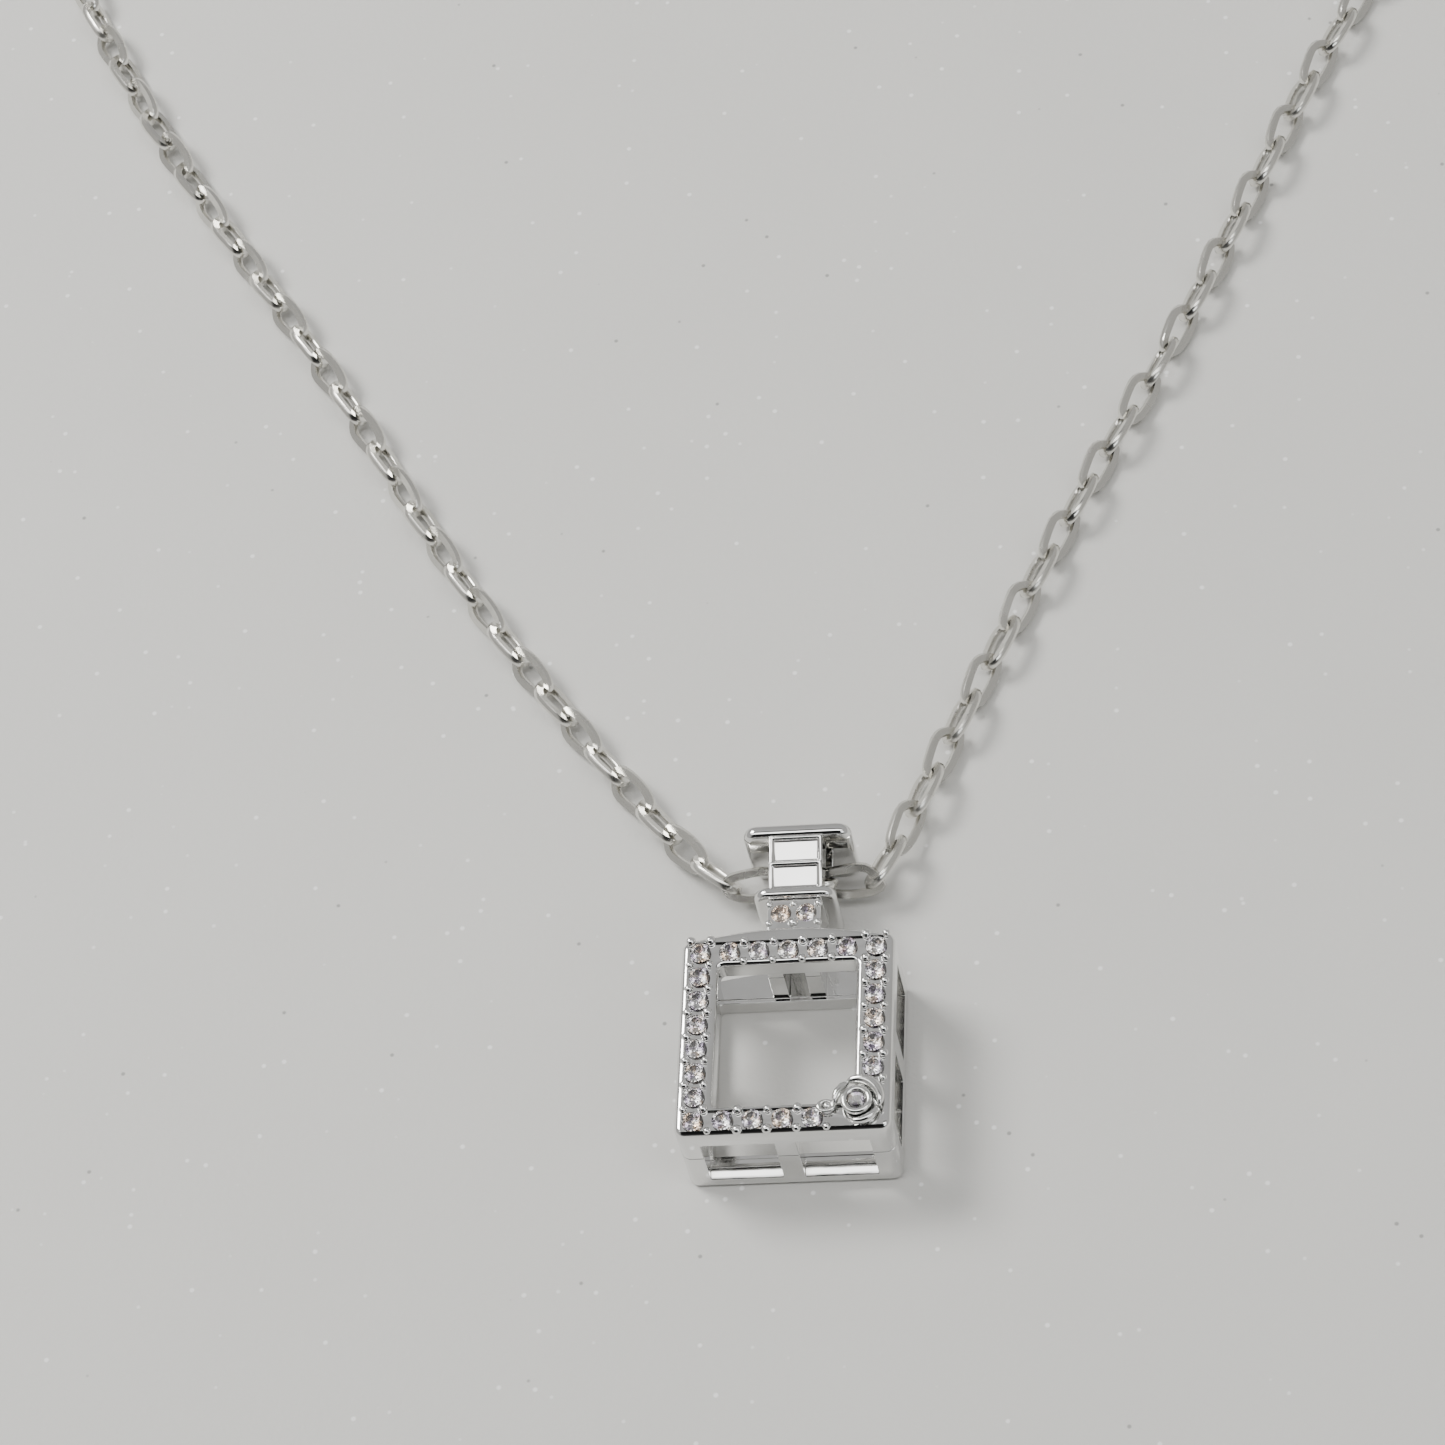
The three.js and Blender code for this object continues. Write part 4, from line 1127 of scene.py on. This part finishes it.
def add_pendant(polish, satin, stone_material):
    places = add_stones(stone_material)
    add_grains(places, polish)
    parts = (
        (model_front_frame(places), polish, "front_frame"),
        (model_rear_frame(), polish, "rear_frame"),
        (model_neck(places), polish, "neck"),
        (model_plate("collar_plate", "collar", 0.3 * MM), polish, "collar"),
        (model_plate("cap_plate", "cap", 0.36 * MM), polish, "cap"),
        (model_block(), polish, "stopper_block"),
        (model_strap(), polish, "bail_strap"),
        (model_rosette(), satin, "rosette"),
    )
    for piece, material, node in parts:
        slot = "rosette_metal" if node == "rosette" else "pendant_metal"
        finished(piece, material, "pendant", slot, node)


# ---------------------------------------------------------------- floor and light


def add_floor(material):
    begin()
    bpy.ops.mesh.primitive_plane_add(size=3, location=(0, 50 * MM, -2 * HAIR))
    floor = named("floor")
    floor.data.materials.append(material)


def add_area(name, place, aim, size, power, colour=(1, 1, 1)):
    data = bpy.data.lights.new(name, "AREA")
    data.shape = "RECTANGLE"
    data.size, data.size_y = size
    data.energy = power
    data.color = colour
    light = bpy.data.objects.new(name, data)
    bpy.context.scene.collection.objects.link(light)
    light.location = place
    light.rotation_euler = (Vector(place) - Vector(aim)).to_track_quat("Z", "Y").to_euler()


def stops(ramp_node, levels):
    """Sets a ramp's stops from pairs of a place and a level."""
    ramp = ramp_node.color_ramp
    while len(ramp.elements) < len(levels):
        ramp.elements.new(0.5)
    for element, (position, level) in zip(ramp.elements, levels):
        element.position = position
        element.color = (level, level * 0.995, level * 0.98, 1)



def add_lights():
    add_area("key", (-0.32, 0.2, 0.42), (0, 0.02, 0), (0.2, 0.2), 2.6, (1, 0.99, 0.96))
    add_area("fill", (0.45, -0.35, 0.4), (0, 0.03, 0), (0.3, 0.2), 0.5, (0.95, 0.98, 1))
    world = bpy.data.worlds.new("room")
    bpy.context.scene.world = world
    world.use_nodes = True
    nodes, link = world.node_tree.nodes, world.node_tree.links.new
    background = nodes["Background"]
    place = nodes.new("ShaderNodeTexCoord")
    split = nodes.new("ShaderNodeSeparateXYZ")
    front = math_step(nodes, "MULTIPLY")
    front.inputs[1].default_value = -1
    turn = math_step(nodes, "ARCTAN2")
    share = math_step(nodes, "DIVIDE")
    share.inputs[1].default_value = math.pi
    arch = nodes.new("ShaderNodeValToRGB")
    stops(arch, ARCH_OF_ROOM)
    spread = math_step(nodes, "ABSOLUTE")
    sides = remapped(nodes, 0.5, 0.8)
    sides.interpolation_type = "SMOOTHSTEP"
    room = colour_mix(nodes)
    room.inputs["B"].default_value = (*SIDE_WALLS, 1)
    link(place.outputs["Generated"], split.inputs["Vector"])
    link(split.outputs["Y"], front.inputs[0])
    link(split.outputs["Z"], turn.inputs[0])
    link(front.outputs["Value"], turn.inputs[1])
    link(turn.outputs["Value"], share.inputs[0])
    link(share.outputs["Value"], arch.inputs["Fac"])
    link(split.outputs["X"], spread.inputs[0])
    link(spread.outputs["Value"], sides.inputs["Value"])
    link(sides.outputs["Result"], room.inputs["Factor"])
    link(arch.outputs["Color"], room.inputs["A"])
    link(room.outputs["Result"], background.inputs["Color"])


# ---------------------------------------------------------------- the scene

add_camera()
GROUPS = {"wear": scratch_group(), "cast": ripple_group()}
chain_metal = metal("chain_link_metal", (0.7, 0.69, 0.655), (0.58, 0.57, 0.53), rough=0.17, wear=0.16,
                    wave_depth=0.02 * MM, hairline_depth=0.004 * MM, scales=(700, 260, 700))
one_link = model_link()
last_runs = add_chain(one_link, chain_metal)
bpy.data.objects.remove(one_link)
clasp_metal = metal("clasp_metal", (0.76, 0.75, 0.73), (0.66, 0.65, 0.62), rough=0.12, wear=0.14,
                    wave_depth=0.01 * MM, hairline_depth=0.004 * MM, scales=(500, 200, 400))
spring_metal = metal("spring_steel", (0.5, 0.5, 0.49), (0.36, 0.35, 0.33), rough=0.25, wear=0.2,
                     wave_depth=0.006 * MM, hairline_depth=0.006 * MM, scales=(900, 500, 500))
add_fastening(clasp_metal, spring_metal)
pendant_metal = metal("pendant_metal", (0.75, 0.75, 0.745), (0.68, 0.675, 0.66), rough=0.05, wear=0.08,
                      wave_depth=0.012 * MM, hairline_depth=0.002 * MM, scales=(900, 300, 800))
rosette_metal = metal("rosette_metal", (0.75, 0.75, 0.74), (0.64, 0.635, 0.61), rough=0.1, wear=0.12,
                      wave_depth=0.02 * MM, hairline_depth=0.004 * MM, scales=(1400, 700, 900))
add_pendant(pendant_metal, rosette_metal, clear_stone())
add_floor(paper_floor())
add_lights()

for spare in [m for m in bpy.data.meshes if not m.users]:
    bpy.data.meshes.remove(spare)
